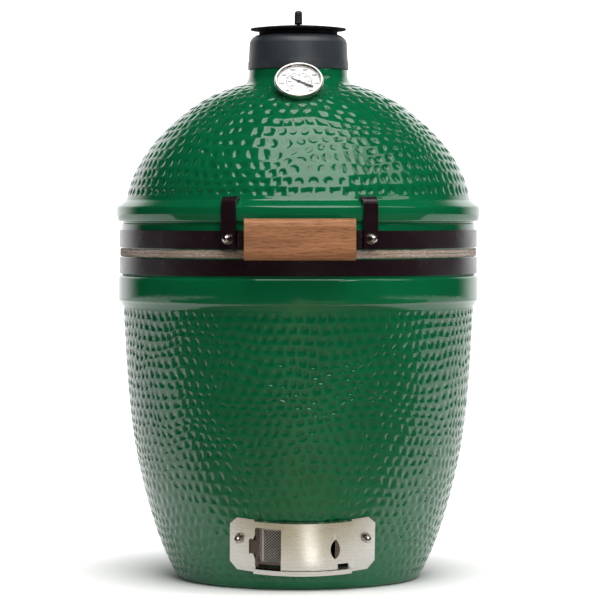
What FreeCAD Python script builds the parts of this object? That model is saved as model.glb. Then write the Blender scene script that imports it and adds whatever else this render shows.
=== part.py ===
"""Kamado ceramic grill: a glazed ceramic base and a hinged dome, with bands, handle, gauge, vent cap,
draft doors, sprung hinge, and the fire box, fire ring, grate and cooking grid that stand inside.

Millimetres. +Z is up, the front of the grill faces -Y, and the origin is the centre of the flat foot.
"""

import FreeCAD
import Part
import math
import os

V = FreeCAD.Vector
X_AXIS, Y_AXIS, Z_AXIS = V(1, 0, 0), V(0, 1, 0), V(0, 0, 1)
ORIGIN = V(0, 0, 0)
os.makedirs("parts", exist_ok=True)

# ---- driving dimensions ----
total_height = 720.0
wall = 24.0                    # ceramic wall
touch = 0.2                    # room between pieces that rest on each other
slide = 0.4                    # room between pieces that move past each other

# base shell, outside
foot_r = 151.0
foot_round = 7.0
base_outline = [(158.0, 7.0), (175.2, 44.0), (191.9, 95.6), (209.0, 172.0), (218.4, 262.0), (223.6, 346.0)]
base_flange_r = 229.8
base_flange_z = (354.5, 383.2)
rim_r = 225.7                  # outside of both shells where the bands sit
base_band_seat_z = 386.5
base_rim_z = 410.5
floor_thick = 24.0
rim_inner_r = 200.0

# felt gaskets between the shells
gasket = 3.8
gasket_inner_r = 203.0
dome_rim_z = base_rim_z + 2 * gasket + 0.3

# dome shell, outside
dome_flange = [(225.0, 451.0), (224.2, 452.0), (224.2, 453.2), (230.4, 454.2), (232.3, 462.7), (232.0, 471.2)]
dome_shoulder = [(230.6, 473.0), (220.6, 480.2), (218.7, 485.0)]
dome_outline = [(218.7, 485.0), (198.6, 534.0), (166.0, 573.0), (121.0, 608.0), (74.0, 627.0)]
neck_r = 62.9
neck_fillet_z = 638.0
neck_ledge_z = 647.0
spigot_r = 57.5                # neck inside the vent cap
spigot_top_z = 668.0
chimney_r = 42.0

# bands
band_thick = 2.2
base_band_z = (388.0, 408.0)
dome_band_z = (421.0, 443.0)
band_inner_r = rim_r + touch
band_outer_r = band_inner_r + band_thick
band_end_deg = 16.0            # half of the gap at the back
lug_reach = 17.0
clamp_y, clamp_head_x = 233.5, 72.5

# hinge at the back
pivot_y, pivot_z = 262.0, (base_rim_z + dome_rim_z) / 2
pivot_pin_r = 5.0
lid_travel_deg = 72.0
spring_arm = 36.0
spring_rod_r = 3.0
lower_rod_z = 328.0
plate = 3.0
base_ear_x, dome_ear_x = 51.5, 47.0      # outer faces of the ears
spring_x, spring_coil_r, spring_wire_r, spring_turns = 22.0, 7.0, 1.4, 14

# handle
handle_z = 433.2
handle_stud_deg = 21.5
strap_width, strap_thick, strap_r = 19.0, 3.0, 233.0
bracket_height, bracket_width, bracket_front_y = 21.3, 146.5, -256.0
grip_width, grip_height, grip_depth = 133.4, 50.0, 27.0
screw_spacing = 80.0

# gauge on the neck
gauge_face = V(0, -114.3, 630.9)
gauge_tilt_deg = 46.0          # from straight up towards the front
bezel_r, case_r, case_depth = 30.6, 27.7, 8.0
stem_r, stem_length = 3.4, 108.0
pointer_rest_deg = -30.0

# vent cap
cap_bottom_z = neck_ledge_z + touch
cap_skirt = [(63.9, 656.6), (63.2, 658.0), (62.1, 680.5)]
cap_top_z = 691.0
cap_opening_r = 40.0
cap_wall = 3.0
cover_r, cover_thick = 50.0, 4.0
wheel_r = 61.0
cap_pivot_y = 71.0
petals, petal_r, petal_ring_r = 6, 7.8, 31.0
fin_width, fin_length, fin_centre_y = 9.6, 30.0, -18.0

# draft doors: a straight strip bent round the base; heights on it run up the slope from its lower edge
draft_turn_deg = 1.4
strip_foot = (168.0, 21.0)     # where its lower edge meets the base, as (r, z)
slope_deg = 18.3
strip_r = 194.0
strip_height, strip_half_deg, strip_corner = 70.0, 27.1, 7.0
channel_half_deg = 17.5
top_lip, bottom_lip = 8.0, 6.2
sheet = 1.0
strip_lift, screen_lift, door_lift, lip_lift = 1.0, 2.5, 5.0, 6.4
window_deg, window_low, window_high = (-14.2, 12.0), 13.5, 58.0
slot_half_deg, slot_low, slot_high = 16.6, 6.6, 12.0
mouth_half, mouth_z = 64.0, (30.0, 79.0)
draft_stud_deg, draft_stud_height = 23.4, 42.0
pull_height = 34.0
flap_width, flap_height, flap_lean_deg = 6.2, 27.0, 56.0
door_half_deg, door_middle_deg = 10.1, 2.3
screen_half_deg, screen_middle_deg = 10.4, -6.6

# ceramic and iron inside
fire_box_z = (floor_thick + touch, 216.0)
grate_ledge_z = 86.0
grate_r = 104.0
fire_ring_z = (fire_box_z[1] + touch, 368.0)
grid_r, grid_rod, grid_wire = 189.0, 3.0, 2.0
grid_pitch, grid_wires = 15.6, 23
arch_half, arch_spring_z = 42.0, 66.0


# ---- small helpers ----
def point(r, z):
    return V(r, 0, z)


def lines(points):
    """Straight edges through (r, z) points."""
    corners = [point(*p) for p in points]
    return [Part.LineSegment(a, b).toShape() for a, b in zip(corners, corners[1:])]


def curve(points):
    """A smooth curve through (r, z) points."""
    spline = Part.BSplineCurve()
    spline.interpolate([point(*p) for p in points])
    return spline


def inward(spline, points, depth):
    """The same (r, z) points moved depth into the wall, square to the curve."""
    moved = []
    for p in points:
        t = spline.tangent(spline.parameter(point(*p)))[0]
        moved.append((p[0] - t.z * depth, p[1] + t.x * depth))
    return moved


def revolved(edges, half_deg=None, middle_deg=-90.0):
    """A closed (r, z) outline turned about Z, all round or half_deg to each side of middle_deg."""
    flat = Part.Face(Part.Wire(edges))
    if half_deg is None:
        return flat.revolve(ORIGIN, Z_AXIS, 360)
    flat.rotate(ORIGIN, Z_AXIS, middle_deg - half_deg)
    return flat.revolve(ORIGIN, Z_AXIS, 2 * half_deg)


def ring(r_in, r_out, z_low, z_high, half_deg=None, middle_deg=-90.0):
    """A plain ring, or a part of one."""
    outline = [(r_in, z_low), (r_out, z_low), (r_out, z_high), (r_in, z_high), (r_in, z_low)]
    return revolved(lines(outline), half_deg, middle_deg)


def disc(r, z_low, z_high, x=0.0, y=0.0):
    return Part.makeCylinder(r, z_high - z_low, V(x, y, z_low))


def rod(r, start, end):
    return Part.makeCylinder(r, (end - start).Length, start, end - start)


def block(x_low, x_high, y_low, y_high, z_low, z_high):
    return Part.makeBox(x_high - x_low, y_high - y_low, z_high - z_low, V(x_low, y_low, z_low))


def hexagon(across, height):
    """A hexagonal bar on the origin, up +Z."""
    corner = across / math.sqrt(3)
    corners = [V(corner * math.cos(math.radians(60 * i)), corner * math.sin(math.radians(60 * i)), 0) for i in range(7)]
    return Part.Face(Part.makePolygon(corners)).extrude(V(0, 0, height))


def cap_nut(across):
    """A closed nut with a domed top, on the origin, up +Z, bored for a stud."""
    nut = hexagon(across, 0.5 * across).common(Part.makeCone(across * 0.62, across * 0.5, 0.52 * across))
    crown = Part.makeSphere(across * 0.46, V(0, 0, 0.46 * across)).common(disc(across, 0.45 * across, across))
    return nut.fuse(crown).removeSplitter()


def turned_to(shape, deg, r, z):
    """Moves a shape made up +Z on the origin so that it points outwards at the angle deg, radius r and height z."""
    moved = shape.copy()
    moved.rotate(ORIGIN, Y_AXIS, 90)
    moved.translate(V(r, 0, z))
    moved.rotate(ORIGIN, Z_AXIS, deg)
    return moved


def front_pair(shape, r, z, half_deg, centre_deg=-90.0):
    """The same shape standing outwards on both sides of the front."""
    return [turned_to(shape, centre_deg + side * half_deg, r, z) for side in (-1, 1)]


def link(x_low, x_high, start, end, width):
    """A flat link with round ends between two (y, z) points, square to X."""
    a, b = V(x_low, *start), V(x_low, *end)
    along = (b - a).normalize()
    across = V(0, -along.z, along.y) * (width / 2)
    body = Part.Face(Part.makePolygon([a + across, b + across, b - across, a - across, a + across]))
    thick = V(x_high - x_low, 0, 0)
    shape = body.extrude(thick)
    for end_point in (a, b):
        shape = shape.fuse(Part.makeCylinder(width / 2, thick.x, end_point, X_AXIS))
    return shape


def mirrored(shape):
    return shape.mirror(ORIGIN, X_AXIS)


def save(name, *shapes):
    """Writes one sub-part, which may be several separate solids, to its own file."""
    solids = [solid for shape in shapes for solid in shape.Solids]
    for solid in solids:
        assert solid.isValid() and solid.isClosed() and solid.Volume > 0, name
    whole = solids[0] if len(solids) == 1 else Part.makeCompound(solids)
    whole.exportStep(f"parts/{name}.step")


# ---- ceramic shells ----
def base_shell():
    outer = curve(base_outline)
    foot = [point(foot_r, 0), point(foot_r + 5.2, 1.9), point(*base_outline[0])]
    inner_points = inward(outer, base_outline[1:], wall)
    inner = curve([(inner_points[0][0] - 8, floor_thick + 8)] + inner_points)
    flange = [base_outline[-1], (base_flange_r - 2, base_flange_z[0] - 2), (base_flange_r, base_flange_z[0]),
              (base_flange_r, base_flange_z[1]), (rim_r, base_band_seat_z), (rim_r, base_rim_z),
              (rim_inner_r, base_rim_z), (rim_inner_r, inner_points[-1][1] + 12), inner_points[-1]]
    floor_edge = (inner.StartPoint.x, inner.StartPoint.z)
    floor = [floor_edge, (floor_edge[0] - 8, floor_thick), (0, floor_thick), (0, 0), (foot_r, 0)]
    edges = [Part.Arc(*foot).toShape(), outer.toShape()] + lines(flange) + [inner.toShape()] + lines(floor)
    shell = revolved(edges)
    mouth = block(-mouth_half, mouth_half, -240, -100, *mouth_z)
    mouth.rotate(ORIGIN, Z_AXIS, draft_turn_deg)
    for hole in draft_pair(disc(3.3, -16, 8)):
        shell = shell.cut(hole)
    return shell.cut(mouth)


def dome_shell():
    outer = curve(dome_outline)
    inner_points = inward(outer, dome_outline, wall)
    inner = curve(inner_points)
    rim = [(rim_inner_r, dome_rim_z), (rim_r, dome_rim_z), (rim_r, dome_flange[0][1])] + dome_flange
    neck = [point(*dome_outline[-1]), point(66.0, 630.6), point(neck_r, neck_fillet_z)]
    top = [(neck_r, neck_fillet_z), (neck_r, neck_ledge_z), (spigot_r, neck_ledge_z), (spigot_r, spigot_top_z),
           (chimney_r, spigot_top_z), (chimney_r, inner_points[-1][1] + 4), inner_points[-1]]
    inside = [inner_points[0], (rim_inner_r, inner_points[0][1] - 12), (rim_inner_r, dome_rim_z)]
    edges = lines(rim) + lines([dome_flange[-1]] + dome_shoulder) + [outer.toShape()]
    edges += [Part.Arc(*neck).toShape()] + lines(top) + [inner.toShape()] + lines(inside)
    shell = revolved(edges)
    return shell.cut(on_gauge(disc(stem_r + 2.6, -70, 0)))


def felt(z_low):
    return ring(gasket_inner_r, rim_r - 0.5, z_low, z_low + gasket)


# ---- steel bands ----
def band(z_low, z_high):
    """A strap round the front and sides, with its two ends turned outwards into clamping lugs at the back."""
    strap = ring(band_inner_r, band_outer_r, z_low, z_high, 180 - band_end_deg)
    for side in (-1, 1):
        lug = block(band_inner_r + 0.6, band_outer_r + lug_reach, -band_thick / 2, band_thick / 2, z_low, z_high)
        lug.rotate(ORIGIN, Z_AXIS, 90 + side * (band_end_deg + 0.28))
        strap = strap.fuse(lug)
    hole_z = (z_low + z_high) / 2
    return strap.removeSplitter().cut(rod(3.3, V(-90, clamp_y, hole_z), V(90, clamp_y, hole_z)))



def clamp_bolt(z):
    """The screw that pulls a band's end towards the hinge, on the right-hand side."""
    head = hexagon(10, 4)
    head.rotate(ORIGIN, Y_AXIS, 90)
    head.translate(V(clamp_head_x, clamp_y, z))
    return head.fuse(rod(3.0, V(clamp_head_x + 0.5, clamp_y, z), V(35, clamp_y, z)))


def clamp_nut(z, x):
    nut = hexagon(10, 5).cut(disc(3.05, -1, 6))
    nut.rotate(ORIGIN, Y_AXIS, -90)
    nut.translate(V(x, clamp_y, z))
    return nut


# ---- hinge ----
rest_lean = math.radians(lid_travel_deg / 2)
upper_rod = (pivot_y + spring_arm * math.cos(rest_lean), pivot_z + spring_arm * math.sin(rest_lean))
lower_rod = (upper_rod[0], lower_rod_z)


def hinge_bracket(z_range, ear_x, half_deg, ears, bores):
    """A curved pad against the band with two ears; ears are links between (y, z) points, bores are (y, z, radius)."""
    z_mid = (z_range[0] + z_range[1]) / 2
    bracket = ring(band_outer_r + touch, band_outer_r + touch + plate, *z_range, half_deg, 90.0)
    for x_low in (ear_x - plate, -ear_x):
        for start, end, width in ears:
            bracket = bracket.fuse(link(x_low, x_low + plate, start, end, width))
    inside = disc(band_outer_r + touch, z_range[0] - 40, z_range[1] + 40)
    bracket = bracket.cut(inside).removeSplitter()
    for y, z, r in bores + [(clamp_y, z_mid, 3.3)]:
        bracket = bracket.cut(rod(r, V(-90, y, z), V(90, y, z)))
    return bracket


def base_hinge_bracket():
    z_mid = sum(base_band_z) / 2
    ears = [((231, z_mid), (246, z_mid), 20), ((246, z_mid), (pivot_y, pivot_z), 20), ((246, z_mid), lower_rod, 16)]
    bores = [(pivot_y, pivot_z, pivot_pin_r + 0.05), (*lower_rod, spring_rod_r + 0.05)]
    return hinge_bracket(base_band_z, base_ear_x, 13.3, ears, bores)


def dome_hinge_bracket():
    z_mid = sum(dome_band_z) / 2
    ears = [((231, z_mid), (243, z_mid), 22), ((243, z_mid), (pivot_y, pivot_z), 20), ((pivot_y, pivot_z), upper_rod, 14)]
    bores = [(pivot_y, pivot_z, pivot_pin_r + 0.05), (*upper_rod, spring_rod_r + 0.05)]
    return hinge_bracket(dome_band_z, dome_ear_x, 12.0, ears, bores)


def cross_rod(r, half_length, y, z):
    return rod(r, V(-half_length, y, z), V(half_length, y, z))


def hinge_pin():
    head = hexagon(16, 6)
    head.rotate(ORIGIN, Y_AXIS, -90)
    head.translate(V(-base_ear_x - touch, pivot_y, pivot_z))
    return head.fuse(rod(pivot_pin_r, V(-base_ear_x - 1, pivot_y, pivot_z), V(base_ear_x + 11, pivot_y, pivot_z)))


def hinge_pin_nut():
    nut = hexagon(16, 8).cut(disc(pivot_pin_r + 0.05, -1, 9))
    nut.rotate(ORIGIN, Y_AXIS, 90)
    nut.translate(V(base_ear_x + touch, pivot_y, pivot_z))
    return nut


def spring(x):
    """An extension spring: a coil with a closed eye round each rod."""
    y, low, high = upper_rod[0], lower_rod[1], upper_rod[1]
    eye_r = spring_rod_r + spring_wire_r + 0.5
    coil_low, coil_high = low + eye_r + 2.5, high - eye_r - 2.5
    helix = Part.makeHelix((coil_high - coil_low) / spring_turns, coil_high - coil_low, spring_coil_r)
    helix.translate(V(x, y, coil_low))
    section = Part.Wire(Part.makeCircle(spring_wire_r, V(x + spring_coil_r, y, coil_low), Y_AXIS))
    coil = Part.Wire(helix).makePipeShell([section], True, True)
    pieces = [coil]
    for eye_z, coil_z in ((low, coil_low), (high, coil_high)):
        pieces.append(Part.makeTorus(eye_r, spring_wire_r, V(x, y, eye_z), X_AXIS))
        towards = math.copysign(eye_r, coil_z - eye_z)
        pieces.append(rod(spring_wire_r, V(x, y, eye_z + towards), V(x + spring_coil_r, y, coil_z)))
        pieces.append(Part.makeSphere(spring_wire_r, V(x + spring_coil_r, y, coil_z)))
    return pieces[0].multiFuse(pieces[1:])


# ---- handle ----
def handle_strap(side):
    """A flat bar bolted over the handle's foot, hooked over the dome's flange."""
    r, top, bend = strap_r, 473.0, 9.0
    t, c = strap_thick, 0.7071
    outline = lines([(r + t, handle_z - 12.6), (r + t, top)])
    outline.append(Part.Arc(point(r + t, top), point(r - bend + (bend + t) * c, top + (bend + t) * c),
                            point(r - bend, top + bend + t)).toShape())
    outline += lines([(r - bend, top + bend + t), (r - bend - 3, top + bend + t), (r - bend - 3, top + bend),
                      (r - bend, top + bend)])
    outline.append(Part.Arc(point(r - bend, top + bend), point(r - bend + bend * c, top + bend * c),
                            point(r, top)).toShape())
    outline += lines([(r, top), (r, handle_z - 12.6), (r + t, handle_z - 12.6)])
    strap = Part.Face(Part.Wire(outline)).extrude(V(0, strap_width, 0))
    strap.translate(V(0, -strap_width / 2, 0))
    strap = strap.cut(turned_to(disc(3.3, -20, 20), 0, r, handle_z))
    strap.rotate(ORIGIN, Z_AXIS, -90 + side * handle_stud_deg)
    return strap


def handle_bracket():
    """A hat-shaped strip: two feet on the band, two legs, and the plate that carries the wooden grip."""
    z_low, z_high = handle_z - bracket_height / 2, handle_z + bracket_height / 2
    foot_r_in = band_outer_r + touch
    front = block(-bracket_width / 2, bracket_width / 2, bracket_front_y - plate / 2, bracket_front_y + plate / 2,
                  z_low, z_high)
    bracket = front
    for side in (-1, 1):
        foot = ring(foot_r_in, foot_r_in + plate, z_low, z_high, 2.5, -90 + side * (handle_stud_deg + 0.1))
        inner = math.radians(handle_stud_deg - 2.4)
        start = V(side * (foot_r_in + 0.5) * math.sin(inner), -(foot_r_in + 0.5) * math.cos(inner), z_low)
        end = V(side * (bracket_width / 2 - plate / 2), bracket_front_y, z_low)
        along = (end - start).normalize()
        across = V(-along.y, along.x, 0) * (plate / 2)
        leg = Part.Face(Part.makePolygon([start + across, end + across, end - across, start - across, start + across]))
        bracket = bracket.fuse(foot).fuse(leg.extrude(V(0, 0, bracket_height)))
        bracket = bracket.fuse(disc(plate / 2, z_low, z_high, end.x, end.y))
    bracket = bracket.cut(disc(foot_r_in, z_low - 1, z_high + 1)).removeSplitter()
    for hole in front_pair(disc(3.3, -12, 12), foot_r_in, handle_z, handle_stud_deg):
        bracket = bracket.cut(hole)
    for x in (-screw_spacing / 2, screw_spacing / 2):
        bracket = bracket.cut(rod(2.6, V(x, bracket_front_y - 9, handle_z), V(x, bracket_front_y + 9, handle_z)))
    return bracket


def handle_grip():
    back = bracket_front_y - plate / 2 - touch
    grip = block(-grip_width / 2, grip_width / 2, back - grip_depth, back,
                 handle_z - grip_height / 2, handle_z + grip_height / 2)
    long_edges = [e for e in grip.Edges if abs(e.Vertexes[0].X - e.Vertexes[1].X) > 1]
    grip = grip.makeFillet(4.0, [e for e in long_edges if abs(e.Vertexes[0].Y - back) < 1])
    front_edges = [e for e in grip.Edges if abs(e.Length - grip_width) < 0.1
                   and abs(e.CenterOfMass.y - (back - grip_depth)) < 0.1]
    grip = grip.makeFillet(11.0, front_edges)
    for x in (-screw_spacing / 2, screw_spacing / 2):
        grip = grip.cut(rod(2.05, V(x, back - 18, handle_z), V(x, back + 1, handle_z)))
    return grip


def wood_screw(x):
    head_y = bracket_front_y + plate / 2 + touch
    shank = rod(2.0, V(x, bracket_front_y - 17, handle_z), V(x, head_y + 1, handle_z))
    head = Part.makeCone(4.6, 3.2, 3.0, V(x, head_y, handle_z), Y_AXIS)
    slot = block(x - 0.6, x + 0.6, head_y + 1.8, head_y + 4, handle_z - 3, handle_z + 3)
    cross = block(x - 3, x + 3, head_y + 1.8, head_y + 4, handle_z - 0.6, handle_z + 0.6)
    return head.fuse(shank).cut(slot).cut(cross)


# ---- gauge, made lying flat with its face at height 0 and then set on the neck ----
def on_gauge(shape):
    moved = shape.copy()
    moved.rotate(ORIGIN, X_AXIS, gauge_tilt_deg)
    moved.translate(gauge_face)
    return moved


def gauge_case():
    cup = ring(case_r - 1.2, case_r, -case_depth, -3.1).fuse(disc(case_r, -case_depth, -case_depth + 1.2))
    boss = hexagon(14, 4)
    boss.translate(V(0, 0, -case_depth - 4))
    return on_gauge(cup.fuse(boss).cut(disc(stem_r + 0.05, -20, 0)))


def gauge_bezel():
    opening_r = case_r - 0.7
    outline = [(case_r + 0.1, -6.0), (bezel_r - 0.8, -6.0), (bezel_r, -5.0), (bezel_r, -1.6), (bezel_r - 1.2, 0),
               (opening_r + 0.6, 0), (opening_r, -0.8), (opening_r, -1.6), (case_r + 0.1, -1.6), (case_r + 0.1, -6.0)]
    return on_gauge(revolved(lines(outline)))


def gauge_pointer():
    """A long tapered needle with a broad tail and a round hub."""
    tip, tail = 20.0, 11.0
    blade = Part.Face(Part.makePolygon([V(tip, -1.9, 0), V(tip, 1.9, 0), V(0, 1.1, 0), V(-tail, 0.7, 0),
                                        V(-tail, -0.7, 0), V(0, -1.1, 0), V(tip, -1.9, 0)])).extrude(V(0, 0, 0.4))
    needle = blade.fuse(disc(2.4, -0.3, 0.6)).removeSplitter()
    needle.rotate(ORIGIN, Z_AXIS, pointer_rest_deg)
    needle.translate(V(0, 0, -4.4))
    return on_gauge(needle)


# ---- vent cap ----
def cap_body():
    """A cast collar that fits over the neck, with a round opening and a boss for the cover's pivot."""
    outline = [(spigot_r + 2.1, cap_bottom_z), (64.2, cap_bottom_z)] + cap_skirt
    shoulder = [point(*cap_skirt[-1]), point(58.6, 687.0), point(51.0, cap_top_z)]
    inside = [(51.0, cap_top_z), (cap_opening_r, cap_top_z), (cap_opening_r, cap_top_z - 4.5), (54.0, cap_top_z - 6.5),
              (cap_skirt[-1][0] - cap_wall, 680.0), (cap_skirt[-1][0] - cap_wall, 672.0), (46.0, 672.0),
              (46.0, spigot_top_z + 0.5), (spigot_r + 2.1, spigot_top_z + 0.5), (spigot_r + 2.1, cap_bottom_z)]
    body = revolved(lines(outline) + [Part.Arc(*shoulder).toShape()] + lines(inside))
    boss = disc(8.0, 662.0, cap_top_z, 0, cap_pivot_y)
    web = block(-6, 6, 58.0, cap_pivot_y, 664.0, cap_top_z - 2)
    body = body.fuse(boss.fuse(web).cut(disc(61.5, 600, 683))).removeSplitter()
    return body.cut(disc(3.05, 660, 700, 0, cap_pivot_y))


cover_z = cap_top_z + slide
wheel_z = cover_z + cover_thick + slide
rivet_seat_z = 700.6


def petal_holes(z_low, z_high, turn_deg):
    holes = []
    for i in range(petals):
        a = math.radians(turn_deg + 360.0 / petals * i)
        holes.append(disc(petal_r, z_low, z_high, petal_ring_r * math.cos(a), petal_ring_r * math.sin(a)))
    return holes


def cap_cover():
    """The plate that swings aside, with a ring of holes and an ear round the pivot."""
    ear = disc(8.0, cover_z, cover_z + cover_thick, 0, cap_pivot_y)
    neck = block(-8, 8, 40, cap_pivot_y, cover_z, cover_z + cover_thick)
    cover = disc(cover_r, cover_z, cover_z + cover_thick).fuse(ear).fuse(neck).removeSplitter()
    cover = cover.cut(disc(3.05, cover_z - 1, wheel_z + 1, 0, cap_pivot_y))
    for hole in petal_holes(cover_z - 1, wheel_z + 1, 180.0 / petals):
        cover = cover.cut(hole)
    return cover.cut(disc(3.05, cover_z - 1, wheel_z + 1)).cut(disc(6.2, cover_z - 1, cover_z + 1.8))


def cap_wheel():
    """The turning disc: thin crowned plate with a bevelled rim and a fin for the grip."""
    under, rim_z, crown = wheel_z, 696.8, 703.2
    outline = lines([(0, under), (50.0, under), (wheel_r - 1, rim_z), (wheel_r, rim_z + 1), (wheel_r - 0.4, rim_z + 2.6)])
    outline.append(Part.Arc(point(wheel_r - 0.4, rim_z + 2.6), point(32.0, crown - 1.0), point(0, crown)).toShape())
    outline += lines([(0, crown), (0, under)])
    wheel = revolved(outline)
    for hole in petal_holes(under - 1, crown + 2, 0):
        wheel = wheel.cut(hole)
    fin = block(-2.0, 2.0, fin_centre_y - fin_length / 2, fin_centre_y + fin_length / 2, crown - 3, total_height - 4)
    wheel = wheel.fuse(fin).removeSplitter()
    return wheel.cut(disc(3.05, under - 1, crown + 1)).cut(disc(6.6, rivet_seat_z, crown + 1))


def grip_sleeve():
    """A ribbed sleeve over the fin."""
    low, high, half = 704.2, total_height, fin_width / 2
    y_low, y_high = fin_centre_y - fin_length / 2 - 2.2, fin_centre_y + fin_length / 2 + 2.2
    sleeve = block(-half, half, y_low, y_high, low, high)
    sleeve = sleeve.makeFillet(3.4, [e for e in sleeve.Edges if e.CenterOfMass.z > low + 0.1])
    for i in range(4):
        z = low + 3.0 + 2.9 * i
        for side in (-1, 1):
            sleeve = sleeve.cut(block(side * half - 0.5, side * half + 0.5, y_low - 1, y_high + 1, z, z + 1.2))
        sleeve = sleeve.cut(block(-half, half, y_low - 1, y_low + 0.5, z, z + 1.2))
    fin_room = block(-2.05, 2.05, fin_centre_y - fin_length / 2 - 0.05, fin_centre_y + fin_length / 2 + 0.05,
                     low - 1, total_height - 3.9)
    return sleeve.cut(fin_room)


# ---- draft doors, made round the Z axis with the strip's lower edge at height 0, then leant on the base ----
def on_base(shape):
    moved = shape.copy()
    moved.translate(V(0, strip_r, 0))
    moved.rotate(ORIGIN, X_AXIS, slope_deg)
    moved.translate(V(0, -strip_foot[0], strip_foot[1]))
    moved.rotate(ORIGIN, Z_AXIS, draft_turn_deg)
    return moved


def bent(lift, thick, low, high, half_deg, middle_deg=0.0):
    """A part of the bent sheet: lift is its distance out from the base, low and high its heights."""
    return ring(strip_r + lift, strip_r + lift + thick, low, high, half_deg, -90 + middle_deg)


def draft_pair(shape):
    """The same shape standing outwards from the base at both studs."""
    return [on_base(solid) for solid in front_pair(shape, strip_r, draft_stud_height, draft_stud_deg)]


def half_moon(width, height, deg):
    """A cutter with its straight side upright at that angle and its round side towards the left."""
    r = (height ** 2 / 4 + width ** 2) / (2 * width)
    cutter = disc(r, -15, 25, 0, r - width).common(block(-height, height, -width, 0, -15, 25))
    return turned_to(cutter, -90 + deg, strip_r, pull_height)


def draft_frame():
    """The stainless strip with cut corners, two lipped channels for the doors, and the openings behind them."""
    frame = bent(strip_lift, sheet, 0, strip_height, strip_half_deg)
    for edge, lip in ((strip_height, -top_lip), (0.0, bottom_lip)):
        web = sorted((edge, edge + math.copysign(sheet, lip)))
        frame = frame.fuse(bent(strip_lift, lip_lift + sheet - strip_lift, *web, channel_half_deg))
        frame = frame.fuse(bent(lip_lift, sheet, *sorted((edge, edge + lip)), channel_half_deg))
    frame = frame.removeSplitter()
    window_half, window_middle = (window_deg[1] - window_deg[0]) / 2, sum(window_deg) / 2
    frame = frame.cut(bent(-3, lip_lift, window_low, window_high, window_half, window_middle))
    frame = frame.cut(bent(-3, lip_lift, slot_low, slot_high, slot_half_deg))
    for side in (-1, 1):
        edge_deg = side * strip_half_deg
        for height in (0.0, strip_height):
            wedge = block(-12, 12, -strip_corner, strip_corner, -strip_corner, strip_corner)
            wedge.rotate(ORIGIN, X_AXIS, 45)
            frame = frame.cut(moved_out(wedge, edge_deg, height))
    frame = frame.cut(half_moon(10.0, 48.0, -channel_half_deg + 1.9))
    frame = on_base(frame)
    for hole in draft_pair(disc(3.3, -12, 16)):
        frame = frame.cut(hole)
    return frame


def moved_out(shape, deg, height):
    moved = shape.copy()
    moved.translate(V(strip_r, 0, height))
    moved.rotate(ORIGIN, Z_AXIS, -90 + deg)
    return moved


door_low, door_high = sheet + slide, strip_height - sheet - slide


def draft_door():
    """The solid door; a half-moon flap is folded out of it near its right-hand end as a pull."""
    door = bent(door_lift, 0.9, door_low, door_high, door_half_deg, door_middle_deg)
    fold_deg = door_middle_deg + door_half_deg - 0.9
    door = door.cut(half_moon(flap_width, flap_height, fold_deg))
    r = (flap_height ** 2 / 4 + flap_width ** 2) / (2 * flap_width)
    flap = disc(r, 0, 0.9, flap_width - r, 0).common(block(0, flap_width, -flap_height, flap_height, -1, 2))
    flap.rotate(ORIGIN, X_AXIS, 90)
    flap.rotate(ORIGIN, Z_AXIS, flap_lean_deg)
    flap.translate(V(strip_r + door_lift + 0.1, 0, pull_height))
    flap.rotate(ORIGIN, Z_AXIS, -90 + fold_deg)
    return on_base(door.fuse(flap).removeSplitter())


def screen_window():
    return screen_half_deg - 1.1, screen_middle_deg, door_low + 14.0, door_high - 9.0


def screen_frame():
    """The screen's sheet: a window for the mesh, a slot under it, and a turned-out tab at its left-hand end."""
    frame = bent(screen_lift, 0.8, door_low, door_high, screen_half_deg, screen_middle_deg)
    half, middle, low, high = screen_window()
    frame = frame.cut(bent(0, 8, low, high, half, middle))
    frame = frame.cut(bent(0, 8, slot_low, slot_high, half, middle))
    edge_deg = screen_middle_deg - screen_half_deg
    tab_deg = 2.4
    low, high = pull_height - 9, pull_height + 9
    frame = frame.fuse(bent(screen_lift, 0.8, low, high, tab_deg / 2 + 0.05, edge_deg - tab_deg / 2))
    frame = frame.fuse(bent(screen_lift, 2.1, low, high, 0.14, edge_deg - tab_deg + 0.1))
    return on_base(frame.removeSplitter())


def screen_mesh():
    """The wire cloth as a thin sheet that fills the screen's window."""
    half, middle, low, high = screen_window()
    return on_base(bent(screen_lift + 0.15, 0.5, low + 0.02, high - 0.02, half - 0.006, middle))


# ---- inside ----
def fire_box():
    """A ceramic bowl without a floor: a ledge for the grate, air holes, and an arch towards the draft doors."""
    z_low, z_high = fire_box_z
    outline = [(104.0, z_low), (126.0, z_low), (150.0, 92.0), (168.0, z_high), (149.0, z_high), (132.0, 96.0),
               (grate_r + 2, 94.0), (grate_r + 2, grate_ledge_z), (96.0, grate_ledge_z), (96.0, grate_ledge_z - 10),
               (104.0, z_low)]
    box = revolved(lines(outline))
    crown = rod(arch_half, V(0, -200, arch_spring_z), V(0, -60, arch_spring_z))
    crown = crown.common(block(-50, 50, -210, -50, arch_spring_z - 6, arch_spring_z + 12))
    arch = block(-arch_half, arch_half, -200, -60, z_low - 1, arch_spring_z).fuse(crown)
    arch.rotate(ORIGIN, Z_AXIS, draft_turn_deg)
    box = box.cut(arch)
    for i in range(10):
        hole = rod(6.5, V(0, -110, 122.0), V(0, -190, 122.0))
        hole.rotate(ORIGIN, Z_AXIS, 36 * i + 18)
        box = box.cut(hole)
    for i in range(5):
        slot = block(-3, 3, -190, -120, 176.0, z_high + 1)
        slot.rotate(ORIGIN, Z_AXIS, 72 * i + 36)
        box = box.cut(slot)
    return box


def fire_ring():
    z_low, z_high = fire_ring_z
    outline = [(151.0, z_low), (171.0, z_low), (174.0, z_low + 22), (190.5, z_low + 60), (193.0, z_high), (175.0, z_high),
               (172.0, z_low + 64), (157.0, z_low + 28), (151.0, z_low)]
    return revolved(lines(outline))


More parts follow.
